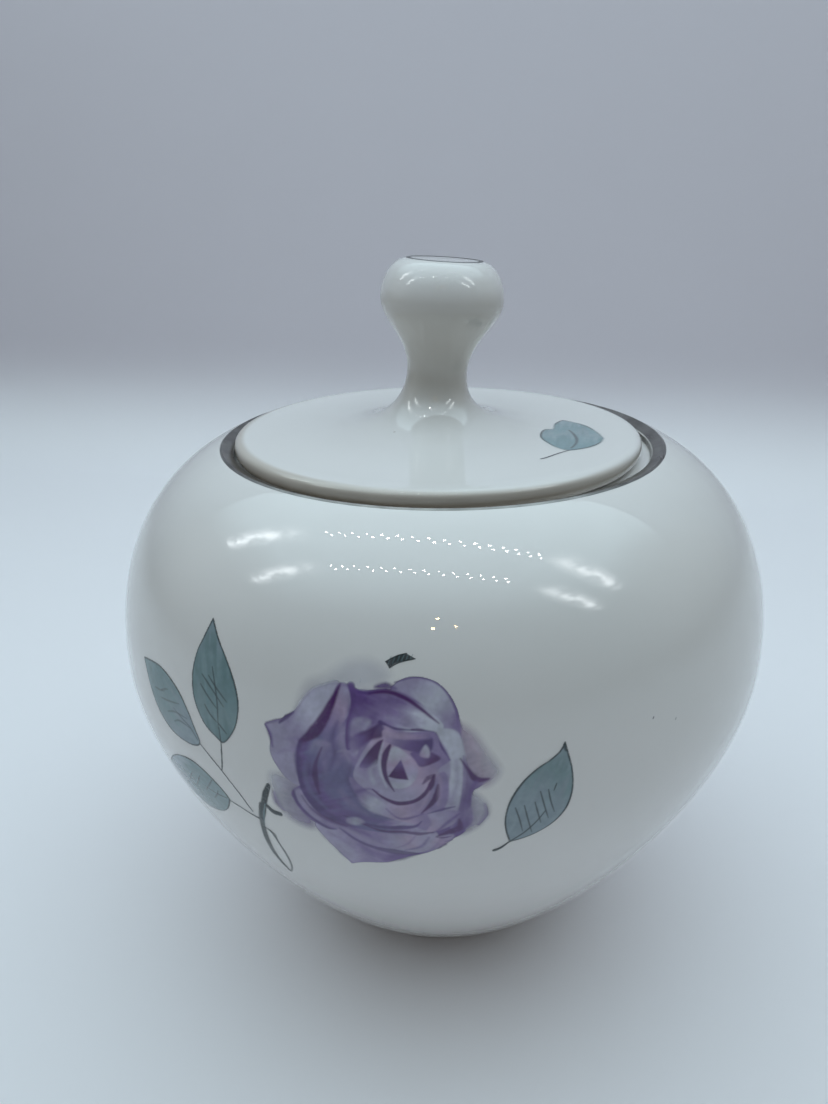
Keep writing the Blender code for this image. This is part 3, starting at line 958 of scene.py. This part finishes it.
rose.brush(
    [(-4.6, 8.4), (-5.2, 6.4), (-5.0, 4.2), (-5.6, 2.0)], [0.2, 0.5, 0.4, 0.1], deep, soft=0.35,
    strength=0.45,
)
rose.brush([(-8.2, -2.8), (-6.6, -4.6), (-4.2, -5.8)], [0.3, 0.7, 0.2], deep, soft=0.3, strength=0.6)
rose.brush(
    [(-9.6, -2.8), (-8.6, -4.4), (-6.6, -5.8), (-4.0, -6.5)], [0.2, 0.4, 0.5, 0.15], plum, soft=0.2,
    strength=0.5,
)
rose.brush([(-4.6, 4.6), (-3.6, 4.9), (-2.6, 4.4)], [0.1, 0.3, 0.1], pale, soft=0.25, strength=0.5)

# the tall petal behind the heart
rose.petal(
    [(-3.4, 13.0), (-3.4, 13.0), (-1.6, 12.5), (0.4, 12.9), (2.6, 12.8), (4.6, 11.9), (6.2, 10.6),
     (7.8, 9.0), (7.0, 8.0), (3.6, 8.0), (1.0, 8.9), (-0.6, 8.4), (-1.8, 6.8), (-3.4, 5.0), (-3.6, 8.0),
     (-3.0, 10.6)], (-2.6, 11.4), (5.6, 8.4), [violet, violet, lilac, lilac, pale, faint], soft=0.14,
    streaks=0.2,
)
rose.petal(
    [(-2.8, 9.6), (-1.4, 11.4), (1.6, 12.0), (3.2, 11.4), (1.0, 10.6), (-1.2, 9.4), (-2.6, 7.0)], (-2, 8),
    (2.6, 11.8), [lilac, violet, violet], soft=0.6, strength=0.6,
)
rose.petal(
    [(-2.8, 8.8), (-1.6, 9.3), (-0.6, 8.9), (-1.6, 7.4), (-2.8, 5.8), (-3.2, 7.2)], (-3, 6), (-1, 9.2),
    [lilac, pale, faint], soft=0.35, strength=0.65,
)
rose.brush(
    [(-1.6, 8.6), (-0.6, 10.2), (1.8, 11.2), (4.0, 10.6)], [0.4, 1.0, 0.9, 0.2], lilac, soft=0.5,
    strength=0.6,
)
rose.brush([(1.2, 9.6), (3.0, 9.4), (5.6, 9.2)], [0.4, 0.9, 0.3], pale, soft=0.45, strength=0.65)
rose.brush([(-0.2, 13.1), (1.0, 13.3), (2.2, 13.1)], [0.3, 0.9, 0.2], violet, soft=0.25, strength=0.7)
rose.brush(
    [(-0.9, 12.3), (1.2, 12.65), (3.2, 12.1), (5.0, 11.0), (6.4, 9.9), (7.3, 9.2)],
    [0.15, 0.45, 0.5, 0.4, 0.3, 0.1], plum, soft=0.14, strength=0.85,
)
rose.brush(
    [(-3.1, 12.9), (-2.7, 11.6), (-3.0, 10.0), (-3.6, 8.6)], [0.9, 0.6, 0.35, 0.1], violet, soft=0.2,
    strength=0.85,
)
rose.brush([(-2.2, 12.3), (-1.2, 12.3), (-0.4, 12.5)], [0.2, 0.3, 0.2], deep, soft=0.2, strength=0.6)
rose.brush(
    [(0.5, 9.0), (2.0, 8.4), (3.6, 8.3), (5.4, 8.3), (6.9, 8.1)], [0.5, 0.35, 0.2, 0.25, 0.2], deep,
    soft=0.13, strength=0.85,
)
rose.brush([(4.2, 8.35), (4.9, 8.4), (5.6, 8.35)], [0.2, 0.3, 0.2], plum, soft=0.1, strength=0.6, dry=0.7)

# the petals on the right
rose.petal(
    [(6.9, 8.2), (8.0, 8.6), (9.6, 8.0), (10.4, 5.4), (10.6, 2.0), (10.2, -1.6), (8.8, -4.2),
     (6.8, -5.8), (4.6, -5.0), (6.6, -3.0), (8.2, 0.0), (8.8, 3.0), (8.4, 5.6)], (9.0, 4.5), (7.0, -5.0),
    [faint, faint, pale, lilac], soft=0.2, strength=0.95,
)
rose.petal(
    [(10.2, 5.2), (10.9, 3.6), (11.8, 2.4), (13.3, 2.0), (13.3, 2.0), (12.2, 0.9), (11.4, 0.2),
     (11.2, -2.0), (10.2, -4.4), (8.8, -5.2), (9.8, -2.0), (10.2, 1.4)], (10.0, 2.0), (10.4, -4.0),
    [lilac, violet, lilac], soft=0.2, strength=0.85,
)
rose.brush(
    [(9.9, 4.8), (10.8, 3.4), (11.5, 2.3), (12.2, 1.9), (13.3, 2.0)], [0.15, 0.35, 0.8, 0.7, 0.25], plum,
    soft=0.18, strength=0.85,
)
rose.brush([(11.8, 1.6), (11.2, 0.4), (11.1, -0.8)], [0.6, 0.4, 0.15], violet, soft=0.25, strength=0.7)
rose.petal(
    [(7.0, 8.1), (7.0, 8.1), (7.8, 6.4), (8.8, 4.6), (8.8, 4.6), (7.4, 4.7), (6.6, 5.4), (6.3, 7.0)],
    (6.6, 7.8), (8.6, 4.4), [plum, deep, violet], soft=0.14, strength=0.97,
)

# the lower lip, fold over fold
rose.petal(
    [(-3.2, 1.4), (-2.0, -1.6), (0.2, -3.4), (3.0, -4.4), (6.0, -4.6), (8.2, -2.0), (8.6, 1.6),
     (7.6, 3.0), (4.0, -1.0), (0.0, 0.0)], (-2.0, -0.4), (6.5, -2.0), [lilac, pale, blush, lilac],
    soft=0.18, strength=0.9,
)
rose.petal(
    [(-2.0, -0.6), (-0.4, -0.9), (1.4, -2.2), (1.4, -3.6), (-0.4, -3.4), (-2.2, -2.0)], (-2, -1),
    (1.2, -3), [lilac, faint, pale], soft=0.3, strength=0.75,
)
rose.petal(
    [(6.2, -2.9), (8.2, -2.4), (10.0, -2.6), (9.6, -4.2), (7.6, -5.6), (6.0, -6.0), (6.6, -4.4)],
    (6.4, -5.4), (9.4, -2.8), [blush, pale, lilac], soft=0.2, strength=0.8,
)
rose.brush([(9.4, -1.8), (8.0, -2.2), (6.2, -2.9)], [0.1, 0.4, 0.1], deep, soft=0.14, strength=0.75)
rose.brush(
    [(5.6, -3.0), (3.6, -3.9), (2.4, -3.8), (1.2, -2.6)], [0.15, 0.45, 0.3, 0.1], violet, soft=0.2,
    strength=0.7,
)
rose.brush(
    [(9.9, -2.9), (8.6, -4.2), (7.4, -5.6), (6.6, -6.2)], [0.15, 0.5, 0.4, 0.1], violet, soft=0.25,
    strength=0.75,
)
rose.brush(
    [(-4.2, -4.6), (-2.0, -5.4), (0.4, -5.7), (2.8, -5.5), (4.6, -5.1), (5.4, -4.2)],
    [0.2, 0.5, 0.45, 0.7, 0.4, 0.1], deep, soft=0.18, strength=0.85,
)
rose.brush(
    [(-1.8, -5.6), (0.6, -6.4), (3.0, -6.2), (5.0, -6.4), (6.8, -6.0)], [0.15, 0.4, 0.4, 0.6, 0.15], plum,
    soft=0.16, strength=0.7,
)
rose.petal(
    [(-3.8, -5.0), (-2.4, -4.6), (-1.6, -5.2), (-2.6, -5.9), (-3.8, -5.8)], (-4, -5), (-1.6, -5.4),
    [pale, faint, pale], soft=0.3, strength=0.6,
)
rose.petal(
    [(11.2, -2.0), (11.5, -4.0), (10.4, -5.6), (9.0, -6.0), (9.6, -4.0)], (9, -6), (11, -2.5),
    [violet, violet, lilac], soft=0.3, strength=0.85,
)
rose.brush(
    [(9.9, -3.8), (9.9, -5.2), (8.6, -6.0), (7.2, -6.8)], [0.2, 1.0, 0.7, 0.25], plum, soft=0.2,
    strength=0.75, dry=0.4,
)
rose.petal(
    [(7.4, -6.8), (9.2, -6.4), (8.8, -7.6), (7.2, -9.2), (5.2, -10.0), (6.2, -8.2)], (6, -9), (9, -6.8),
    [pale, blush, pale], soft=0.25, strength=0.7,
)
rose.brush(
    [(8.9, -6.7), (7.9, -7.0), (7.1, -6.9)], [0.15, 0.3, 0.1], plum, soft=0.12, strength=0.7, dry=0.6,
)
rose.brush([(9.0, -7.4), (8.2, -7.7)], [0.2, 0.15], violet, soft=0.14, strength=0.6, dry=0.6)
rose.brush([(8.1, -8.3), (7.2, -9.2)], [0.5, 0.15], deep, soft=0.18, strength=0.6, dry=0.6)
rose.brush([(7.2, -8.0), (6.4, -9.4), (5.0, -10.4)], [0.2, 0.35, 0.1], lilac, soft=0.25, strength=0.6)

# the heart
rose.petal(
    [(-2.7, 1.6), (-2.0, 4.0), (-0.6, 6.6), (0.6, 8.6), (3.0, 8.0), (6.8, 8.1), (7.6, 6.2), (8.6, 4.6),
     (7.4, 3.4), (6.8, 1.2), (5.0, -1.0), (2.6, -1.6), (0.2, -0.7), (-1.4, 0.1)], (-2.0, 1.0), (5.0, 7.6),
    [pale, pale, blush, lilac], soft=0.14,
)
rose.petal(
    [(-3.2, 5.4), (-2.6, 7.0), (-0.8, 8.0), (0.6, 9.0), (1.0, 7.4), (-0.6, 6.6), (-2.2, 5.2)], (-3, 5.6),
    (0.6, 8.6), [lilac, violet, plum, deep], soft=0.25, strength=0.9,
)
rose.petal(
    [(1.0, 8.1), (3.0, 7.5), (6.3, 7.7), (6.6, 6.0), (5.6, 5.4), (3.4, 5.8), (1.8, 6.4), (0.9, 7.0)],
    (1.2, 7.8), (4.6, 5.4), [blush, lilac, violet, deep], soft=0.18, strength=0.9,
)
rose.petal(
    [(1.2, 8.0), (3.2, 7.7), (6.4, 7.9), (6.3, 7.3), (3.4, 7.1), (1.4, 7.3)], (1.2, 7.6), (6.4, 7.6),
    [blush, blush, lilac], soft=0.25, strength=0.8,
)
rose.petal(
    [(4.1, 5.4), (5.2, 5.7), (6.6, 5.6), (7.6, 4.8), (6.2, 3.9), (5.2, 3.7), (4.6, 4.5)], (4.2, 5.2),
    (6.4, 4.0), [violet, violet, plum], soft=0.18, strength=0.85,
)
rose.petal(
    [(5.2, 5.2), (5.8, 6.5), (6.3, 5.8), (6.2, 4.9)], (5.2, 5.0), (6.0, 6.4), [blush, faint], soft=0.2,
    strength=0.85,
)
rose.petal(
    [(-1.9, 2.9), (-1.2, 4.6), (0.1, 6.4), (0.9, 6.9), (0.9, 6.9), (0.5, 5.0), (0.0, 3.5)], (0.4, 6.4),
    (-1.4, 3.0), [plum, plum, violet], soft=0.14, strength=0.95,
)
rose.petal(
    [(-2.5, 1.6), (-1.8, 3.2), (-0.2, 3.5), (-0.2, 2.2), (-1.0, 1.4)], (-0.4, 3.6), (-2.0, 1.6),
    [violet, lilac, pale], soft=0.35, strength=0.7,
)
rose.petal(
    [(2.2, 6.1), (3.8, 5.2), (4.9, 3.9), (4.8, 2.2), (3.8, 0.9), (2.2, 0.6), (1.2, 1.8), (1.4, 4.4)],
    (2.4, 5.8), (3.4, 0.8), [faint, blush, pale, faint], soft=0.18, strength=0.9,
)
rose.brush(
    [(1.7, 6.2), (1.2, 5.0), (1.0, 3.4), (1.3, 1.8), (2.2, 0.1)], [0.35, 0.75, 0.65, 0.5, 0.1], plum,
    soft=0.13, strength=0.92,
)
rose.petal(
    [(3.0, 4.5), (3.0, 4.5), (3.4, 3.4), (3.9, 1.85), (3.9, 1.85), (2.4, 1.9), (1.5, 2.1), (1.5, 2.1),
     (2.3, 3.4)], (2.8, 3.8), (2.6, 1.8), [violet, plum, plum], soft=0.12, strength=0.97,
)
rose.brush(
    [(0.9, 6.4), (0.5, 4.6), (0.6, 2.6), (1.3, 0.6)], [0.15, 0.25, 0.3, 0.1], faint, soft=0.18,
    strength=0.7,
)
rose.brush(
    [(-2.4, -0.6), (-1.6, -0.2), (-0.8, 0.1), (0.2, -0.2)], [0.5, 0.4, 0.3, 0.2], violet, soft=0.25,
    strength=0.6,
)
rose.brush(
    [(-0.4, 0.1), (0.8, -0.9), (2.6, -1.6), (4.6, -1.1), (5.9, 0.1), (6.6, 1.4), (6.9, 2.6)],
    [0.12, 0.35, 0.6, 0.5, 0.5, 0.7, 0.3], plum, soft=0.13, strength=0.92,
)
rose.brush([(6.9, 2.6), (6.2, 2.2), (5.6, 1.4)], [0.4, 0.6, 0.2], plum, soft=0.15, strength=0.7, dry=0.3)
rose.brush(
    [(7.4, 1.3), (7.2, -0.2), (6.6, -1.4), (5.4, -2.9)], [0.3, 0.8, 0.6, 0.1], plum, soft=0.15,
    strength=0.88,
)
rose.brush([(6.4, 0.4), (5.8, -1.2), (5.0, -2.6)], [0.15, 0.4, 0.1], blush, soft=0.2, strength=0.6)
rose.brush([(8.4, 0.6), (8.2, -0.8), (7.4, -2.0)], [0.3, 0.9, 0.3], lilac, soft=0.35, strength=0.6)
rose.brush([(7.0, 3.2), (7.6, 1.6), (7.4, -1.6)], [0.3, 0.5, 0.2], blush, soft=0.35, strength=0.5)
rose.brush([(9.4, 4.6), (9.6, 1.6), (8.8, -1.2)], [0.2, 0.5, 0.3], lilac, soft=0.5, strength=0.5)
rose.brush([(0.2, 4.0), (-0.6, 2.6), (-0.2, 1.0)], [0.2, 0.6, 0.3], faint, soft=0.4, strength=0.5)
rose.mottle(2.2, 0.16)
rose.mottle(0.5, 0.10)
rose.lay_on(on_bowl(radians(-8.3), 0.0583), "bowl", fired_print)

# ---------------------------------------------------------------- the printed leaves
# Three leaves on a bent stalk beside the rose and one on its far side, from the same sheet of transfers.
# Each leaf is one grey-green wash with a broken pen line round it and a few pen strokes for its veins.
mist = (0.30, 0.375, 0.42)
sage = (0.22, 0.32, 0.335)
teal = (0.16, 0.265, 0.28)
ink = (0.035, 0.05, 0.056)
bark = (0.085, 0.09, 0.10)


def leaf(sheet, outline, root, tip, shades, line=0.2, strength=1.0):
    """A leaf's wash, and the pen line round it, which is thinner where the pen lifted."""
    sheet.petal(outline, root, tip, shades, soft=0.14, strength=0.93 * strength, streaks=0.22)
    round_it = list(outline) + [outline[0]]
    widths = [share * line for share in (1.3, 0.9, 1.4, 0.6, 1.2, 0.9, 1.4, 0.7, 1.3)]
    sheet.brush(round_it, widths, ink, soft=0.11, strength=0.95 * strength, dry=0.4)


def strokes(sheet, *lines, width=0.2, colour=ink, strength=0.85):
    """Short pen strokes, each starting thin and ending thinner."""
    for points in lines:
        sheet.brush(
            points, [0.6 * width, width, 0.9 * width, 0.4 * width], colour, soft=0.08, strength=strength,
        )


spray = Transfer("leaf_spray_print", (-14.5, -23.0), (13.5, 20.0), 0.125)
# the upright leaf
leaf(
    spray,
    [(1.2, 19.2), (1.2, 19.2), (2.9, 17.1), (4.5, 15.4), (6.3, 13.0), (7.4, 10.5), (7.5, 8.2),
     (6.9, 6.1), (5.2, 3.8), (3.7, 4.1), (1.7, 5.2), (0.1, 7.3), (-0.6, 9.3), (-0.8, 11.8), (-0.4, 14.5),
     (0.3, 16.4)],
    (4.6, 4.4), (1.4, 18.0), [teal, sage, teal, sage, mist],
)
strokes(
    spray,
    [(2.7, 13.4), (3.6, 10.9), (4.1, 8.6), (4.3, 5.4)],
    [(1.0, 11.9), (2.9, 10.6), (5.2, 8.8)],
    [(2.2, 12.1), (3.8, 10.9), (5.7, 9.6)],
    [(0.9, 10.5), (2.4, 9.3), (4.0, 8.2)],
    [(1.8, 8.0), (2.8, 7.0), (4.0, 6.3)],
    [(4.2, 6.3), (5.7, 5.2)],
    width=0.26,
)
spray.brush(
    [(4.4, 5.6), (4.6, 3.2), (4.4, 0.2), (4.1, -1.0)], [0.2, 0.24, 0.3, 0.2], ink, soft=0.09,
    strength=0.8,
)
# the leaf that points left
leaf(
    spray,
    [(-13.9, 8.4), (-13.9, 8.4), (-12, 8.9), (-9, 9.35), (-6.2, 8.9), (-3.6, 7.6), (-1.6, 5.5),
     (-0.3, 3.4), (0.4, 1.9), (-0.4, 1.0), (-2.4, 0.5), (-5.0, 0.5), (-7.4, 1.1), (-9.8, 2.6),
     (-11.6, 4.6), (-12.8, 6.6)],
    (0.2, 1.9), (-13.0, 8.0), [mist, mist, sage, teal, sage],
)
strokes(
    spray,
    [(0.0, 2.0), (-1.4, 3.3), (-3.0, 3.9), (-5.2, 4.7)],
    [(-8.3, 6.0), (-7.2, 6.6), (-6.4, 6.9)],
    [(-8.4, 4.8), (-6.4, 5.2), (-3.6, 5.9)],
    [(-6.8, 3.4), (-4.8, 4.2), (-2.0, 4.4)],
    [(-5.2, 2.6), (-3.8, 3.3), (-1.4, 3.2)],
    [(-10.2, 5.6), (-8.8, 5.8), (-7.4, 6.2)],
    width=0.3, strength=0.55,
)
spray.brush(
    [(0.3, 1.7), (2.5, 0.2), (4.2, -1.2), (6.4, -3.8), (7.9, -6.6)], [0.2, 0.3, 0.26, 0.28, 0.3], bark,
    soft=0.1, strength=0.85,
)
# the leaf that hangs low
leaf(
    spray,
    [(3.9, -6.4), (3.0, -4.9), (1.0, -3.4), (-1.5, -2.6), (-4.0, -2.8), (-6.5, -3.8), (-9.0, -5.6),
     (-11.6, -8.4), (-11.6, -8.4), (-8.6, -11.4), (-5.5, -12.8), (-2.5, -12.3), (0.5, -10.9),
     (2.5, -9.0)],
    (3.6, -6.4), (-11.0, -8.4), [sage, sage, teal, mist, mist],
)
strokes(
    spray,
    [(3.4, -6.4), (1.0, -6.7), (-1.6, -6.5)],
    [(1.3, -4.1), (0.2, -5.6), (-1.2, -7.4)],
    [(-1.5, -4.8), (-2.6, -6.4), (-4.0, -8.4)],
    [(1.9, -5.8), (1.2, -7.0), (0.2, -8.2)],
    [(-3.4, -5.2), (-4.6, -6.8), (-5.8, -8.6)],
    width=0.28, strength=0.6,
)
spray.brush(
    [(3.9, -6.6), (5.6, -6.9), (7.0, -7.3), (8.5, -7.6)], [0.2, 0.3, 0.26, 0.45], bark, soft=0.1,
    strength=0.85,
)
# the bent stalk, its broken end and its loose stub
spray.brush(
    [(11.9, -0.3), (11.2, -1.9), (10.6, -3.6), (9.9, -5.6), (9.3, -7.2)], [0.6, 0.9, 0.85, 0.9, 0.6], ink,
    soft=0.16, strength=0.95, dry=0.25,
)
spray.brush(
    [(10.0, -4.2), (9.2, -7.0), (8.6, -9.8), (8.0, -13.0), (7.6, -16.5), (7.6, -19.5), (7.8, -22.0)],
    [0.6, 0.75, 0.8, 0.9, 0.8, 0.75, 0.4], ink, soft=0.18, strength=0.85, dry=0.25,
)
spray.brush([(10.7, -3.9), (9.9, -6.2), (9.1, -8.8)], [0.15, 0.3, 0.15], sage, soft=0.12, strength=0.6)
spray.brush(
    [(9.7, -9.6), (10.1, -10.4), (10.1, -11.4)], [0.3, 0.7, 0.3], ink, soft=0.14, strength=0.5, dry=0.3,
)
spray.brush(
    [(8.9, -9.3), (9.7, -9.9), (10.1, -12.0), (10.1, -15.5), (9.4, -19.0), (8.2, -21.6)],
    [0.3, 0.5, 0.4, 0.45, 0.35, 0.3], bark, soft=0.15, strength=0.65, dry=0.3,
)
spray.brush(
    [(11.0, -4.2), (11.7, -4.9), (12.7, -4.9)], [0.6, 0.9, 0.8], ink, soft=0.14, strength=0.95, dry=0.2,
)
spray.mottle(0.6, 0.10)
spray.lay_on(on_bowl(radians(-37), 0.0559), "bowl", fired_print)

single = Transfer("single_leaf_print", (-6.0, -9.0), (5.5, 9.0), 0.09)
leaf(
    single,
    [(3.0, 7.9), (3.0, 7.9), (3.5, 6.2), (4.0, 4.2), (4.2, 1.8), (3.9, -0.3), (3.2, -2.0), (1.9, -3.6),
     (0.0, -4.9), (-1.8, -5.6), (-3.1, -5.9), (-3.1, -5.9), (-3.7, -4.0), (-4.0, -2.0), (-3.8, 0.0),
     (-3.2, 1.7), (-2.0, 3.6), (-0.4, 5.1), (1.1, 6.0), (2.3, 6.9)],
    (-2.8, -5.4), (3.0, 7.4), [mist, mist, mist, sage, mist],
)
single.brush([(3.1, 7.0), (2.9, 7.6), (3.0, 8.1)], [0.2, 0.4, 0.2], ink, soft=0.1, strength=0.8)
single.brush(
    [(-4.9, -7.5), (-4.1, -7.0), (-3.1, -5.9), (-1.5, -4.5), (-0.1, -2.8), (0.9, -1.2)],
    [0.5, 0.4, 0.25, 0.24, 0.22, 0.14], ink, soft=0.09, strength=0.85,
)
strokes(
    single,
    [(-2.9, -0.1), (-2.3, -1.9), (-1.7, -4.2)],
    [(-1.8, 0.1), (-1.2, -2.2), (-0.5, -4.6)],
    [(-0.5, 0.4), (0.0, -1.4), (0.5, -3.1)],
    [(0.1, 1.9), (0.8, -0.6), (1.4, -2.5)],
    [(1.1, 2.0), (1.5, 0.2), (2.1, -1.6)],
    [(2.1, 2.7), (1.8, 1.7)],
    width=0.21,
)
single.mottle(0.6, 0.10)
single.lay_on(on_bowl(radians(13), 0.0559), "bowl", fired_print)

# ---------------------------------------------------------------- the offcut and the flecks
# A hatched scrap of another transfer that stuck above the rose, and two flecks of colour on the shoulder.
scrap = Transfer("scrap_print", (0.0, 14.6), (5.4, 18.2), 0.06)
scrap.petal(
    [(0.8, 16.1), (0.8, 16.1), (1.3, 15.4), (1.3, 15.4), (2.2, 16.1), (4.3, 16.6), (4.3, 16.6),
     (3.1, 17.2), (3.1, 17.2), (2.2, 16.9)], (1, 16), (4, 17), [bark, ink, bark], soft=0.07,
    strength=0.85,
)
for index in range(6):
    start_x = 1.1 + 0.5 * index
    scrap.brush(
        [(start_x, 15.7 + 0.16 * index), (start_x + 0.3, 16.7 + 0.08 * index)], [0.05, 0.09], sage,
        soft=0.05, strength=0.55,
    )
scrap.brush([(0.8, 16.1), (2.0, 16.8), (3.2, 17.2)], [0.1, 0.16, 0.1], ink, soft=0.06, strength=0.95)
scrap.brush([(1.3, 15.4), (2.4, 16.1), (4.2, 16.6)], [0.1, 0.14, 0.1], ink, soft=0.06, strength=0.95)
scrap.lay_on(on_bowl(radians(-8.3), 0.0583), "bowl", fired_print)

flecks = Transfer("fleck_print", (-3.0, -2.0), (3.0, 2.0), 0.08)
flecks.brush([(-1.9, 0.6), (-1.8, 0.8)], [0.2, 0.14], plum, soft=0.1, strength=0.8)
flecks.brush([(1.9, -0.8), (2.0, -0.6)], [0.16, 0.12], bark, soft=0.1, strength=0.7)
flecks.lay_on(on_bowl(radians(32), 0.0635), "bowl", fired_print)

# ---------------------------------------------------------------- the leaf on the lid
# One more leaf from the same sheet of transfers, laid on the plate beside the knob, with a soft dark
# fold along its middle.
lid_face = [flare_end]
lid_face += bend(flare_end, (0.021, plate_top + 0.0001), (0.027, plate_top - 0.0001), edge_inner, 6)
lid_face = np.array(lid_face)


def on_lid(x, y):
    """Where flat places land on the upper face of the plate."""
    across, deep = x / 1000, y / 1000
    radius = np.hypot(across - lid_centre, deep)
    rise = np.interp(radius, lid_face[:, 0], lid_face[:, 1])
    return np.column_stack((across, deep, rise + print_lift))


lid_leaf = Transfer("lid_leaf_print", (13.0, -19.5), (26.0, 4.5), 0.1)
lid_mist = (0.345, 0.435, 0.465)
lid_sage = (0.265, 0.385, 0.41)
lid_leaf.petal(
    [(24.7, -7.2), (24.7, -7.2), (24.2, -3.4), (22.8, 0.6), (19.9, 2.9), (19.9, 2.9), (18.3, 0.4),
     (17.5, -3.1), (16.2, -3.7), (15.4, -6.0), (15.2, -8.9), (16.6, -12.4), (18.5, -14.0), (21.5, -12.4),
     (23.6, -10.0)], (18.5, -14.0), (21.5, 2.0), [lid_sage, lid_sage, lid_mist, lid_sage, lid_mist],
    soft=0.35, strength=0.92, streaks=0.25,
)
strokes(
    lid_leaf,
    [(17.2, -3.2), (16.0, -4.1), (15.3, -6.4), (15.3, -9.0), (16.6, -12.2)],
    [(18.2, 0.0), (19.8, 2.8), (21.4, 2.0)],
    [(22.0, 1.3), (23.2, -0.4), (23.9, -2.6)],
    [(18.5, -14.0), (21.4, -12.4), (23.7, -9.8)],
    width=0.34, colour=bark, strength=0.6,
)
lid_leaf.brush(
    [(20.4, -9.8), (20.9, -7.4), (20.4, -4.8)], [0.8, 1.8, 0.6], lid_sage, soft=0.7, strength=0.5,
)
lid_leaf.brush(
    [(20.0, -3.2), (20.4, -5.4), (20.5, -8.0), (20.0, -10.6), (19.0, -12.9)], [0.2, 0.5, 0.5, 0.35, 0.3],
    bark, soft=0.2, strength=0.75,
)
lid_leaf.brush(
    [(18.5, -14.0), (16.8, -15.6), (14.9, -17.6), (14.0, -18.3)], [0.2, 0.28, 0.34, 0.3], bark, soft=0.1,
    strength=0.85,
)
lid_leaf.lay_on(on_lid, "lid", fired_print)

# ---------------------------------------------------------------- the leaves on the far side
# A plain pair of leaves from the same sheet, on the side that faces away.
pair = Transfer("back_leaves_print", (-11.0, -10.0), (11.0, 11.0), 0.13)
leaf(
    pair,
    [(-9.6, 7.0), (-9.6, 7.0), (-6.0, 7.6), (-3.0, 6.0), (-1.0, 3.4), (-0.2, 0.6), (-0.2, 0.6),
     (-3.2, 0.6), (-6.4, 2.2), (-8.6, 4.6)],
    (-0.4, 0.8), (-9.0, 6.8), [teal, sage, sage, mist],
)
leaf(
    pair,
    [(8.8, 9.0), (8.8, 9.0), (4.8, 8.4), (2.2, 6.2), (0.9, 3.4), (0.8, 0.4), (0.8, 0.4), (3.8, 0.6),
     (6.6, 2.8), (8.2, 5.8)],
    (0.8, 0.8), (8.6, 8.6), [teal, sage, mist, sage],
)
strokes(
    pair,
    [(-1.0, 1.4), (-3.4, 3.4), (-6.0, 5.2)],
    [(-3.0, 1.6), (-3.6, 3.2), (-3.4, 5.0)],
    [(-4.8, 2.4), (-5.4, 4.0), (-5.0, 5.8)],
    [(1.4, 1.4), (3.6, 4.0), (6.4, 6.8)],
    [(2.0, 4.8), (3.6, 4.4), (5.2, 3.2)],
    [(3.6, 6.6), (5.2, 6.0), (6.6, 4.8)],
    width=0.24,
)
pair.brush(
    [(-0.2, 0.6), (0.2, -2.0), (0.9, -5.2), (2.2, -8.8)], [0.25, 0.45, 0.6, 0.4], bark, soft=0.12,
    strength=0.85, dry=0.3,
)
pair.brush([(0.8, 0.5), (0.5, -1.0), (0.3, -2.4)], [0.2, 0.3, 0.2], bark, soft=0.1, strength=0.8)
pair.mottle(0.6, 0.10)
pair.lay_on(on_bowl(radians(172), 0.0575), "bowl", fired_print)
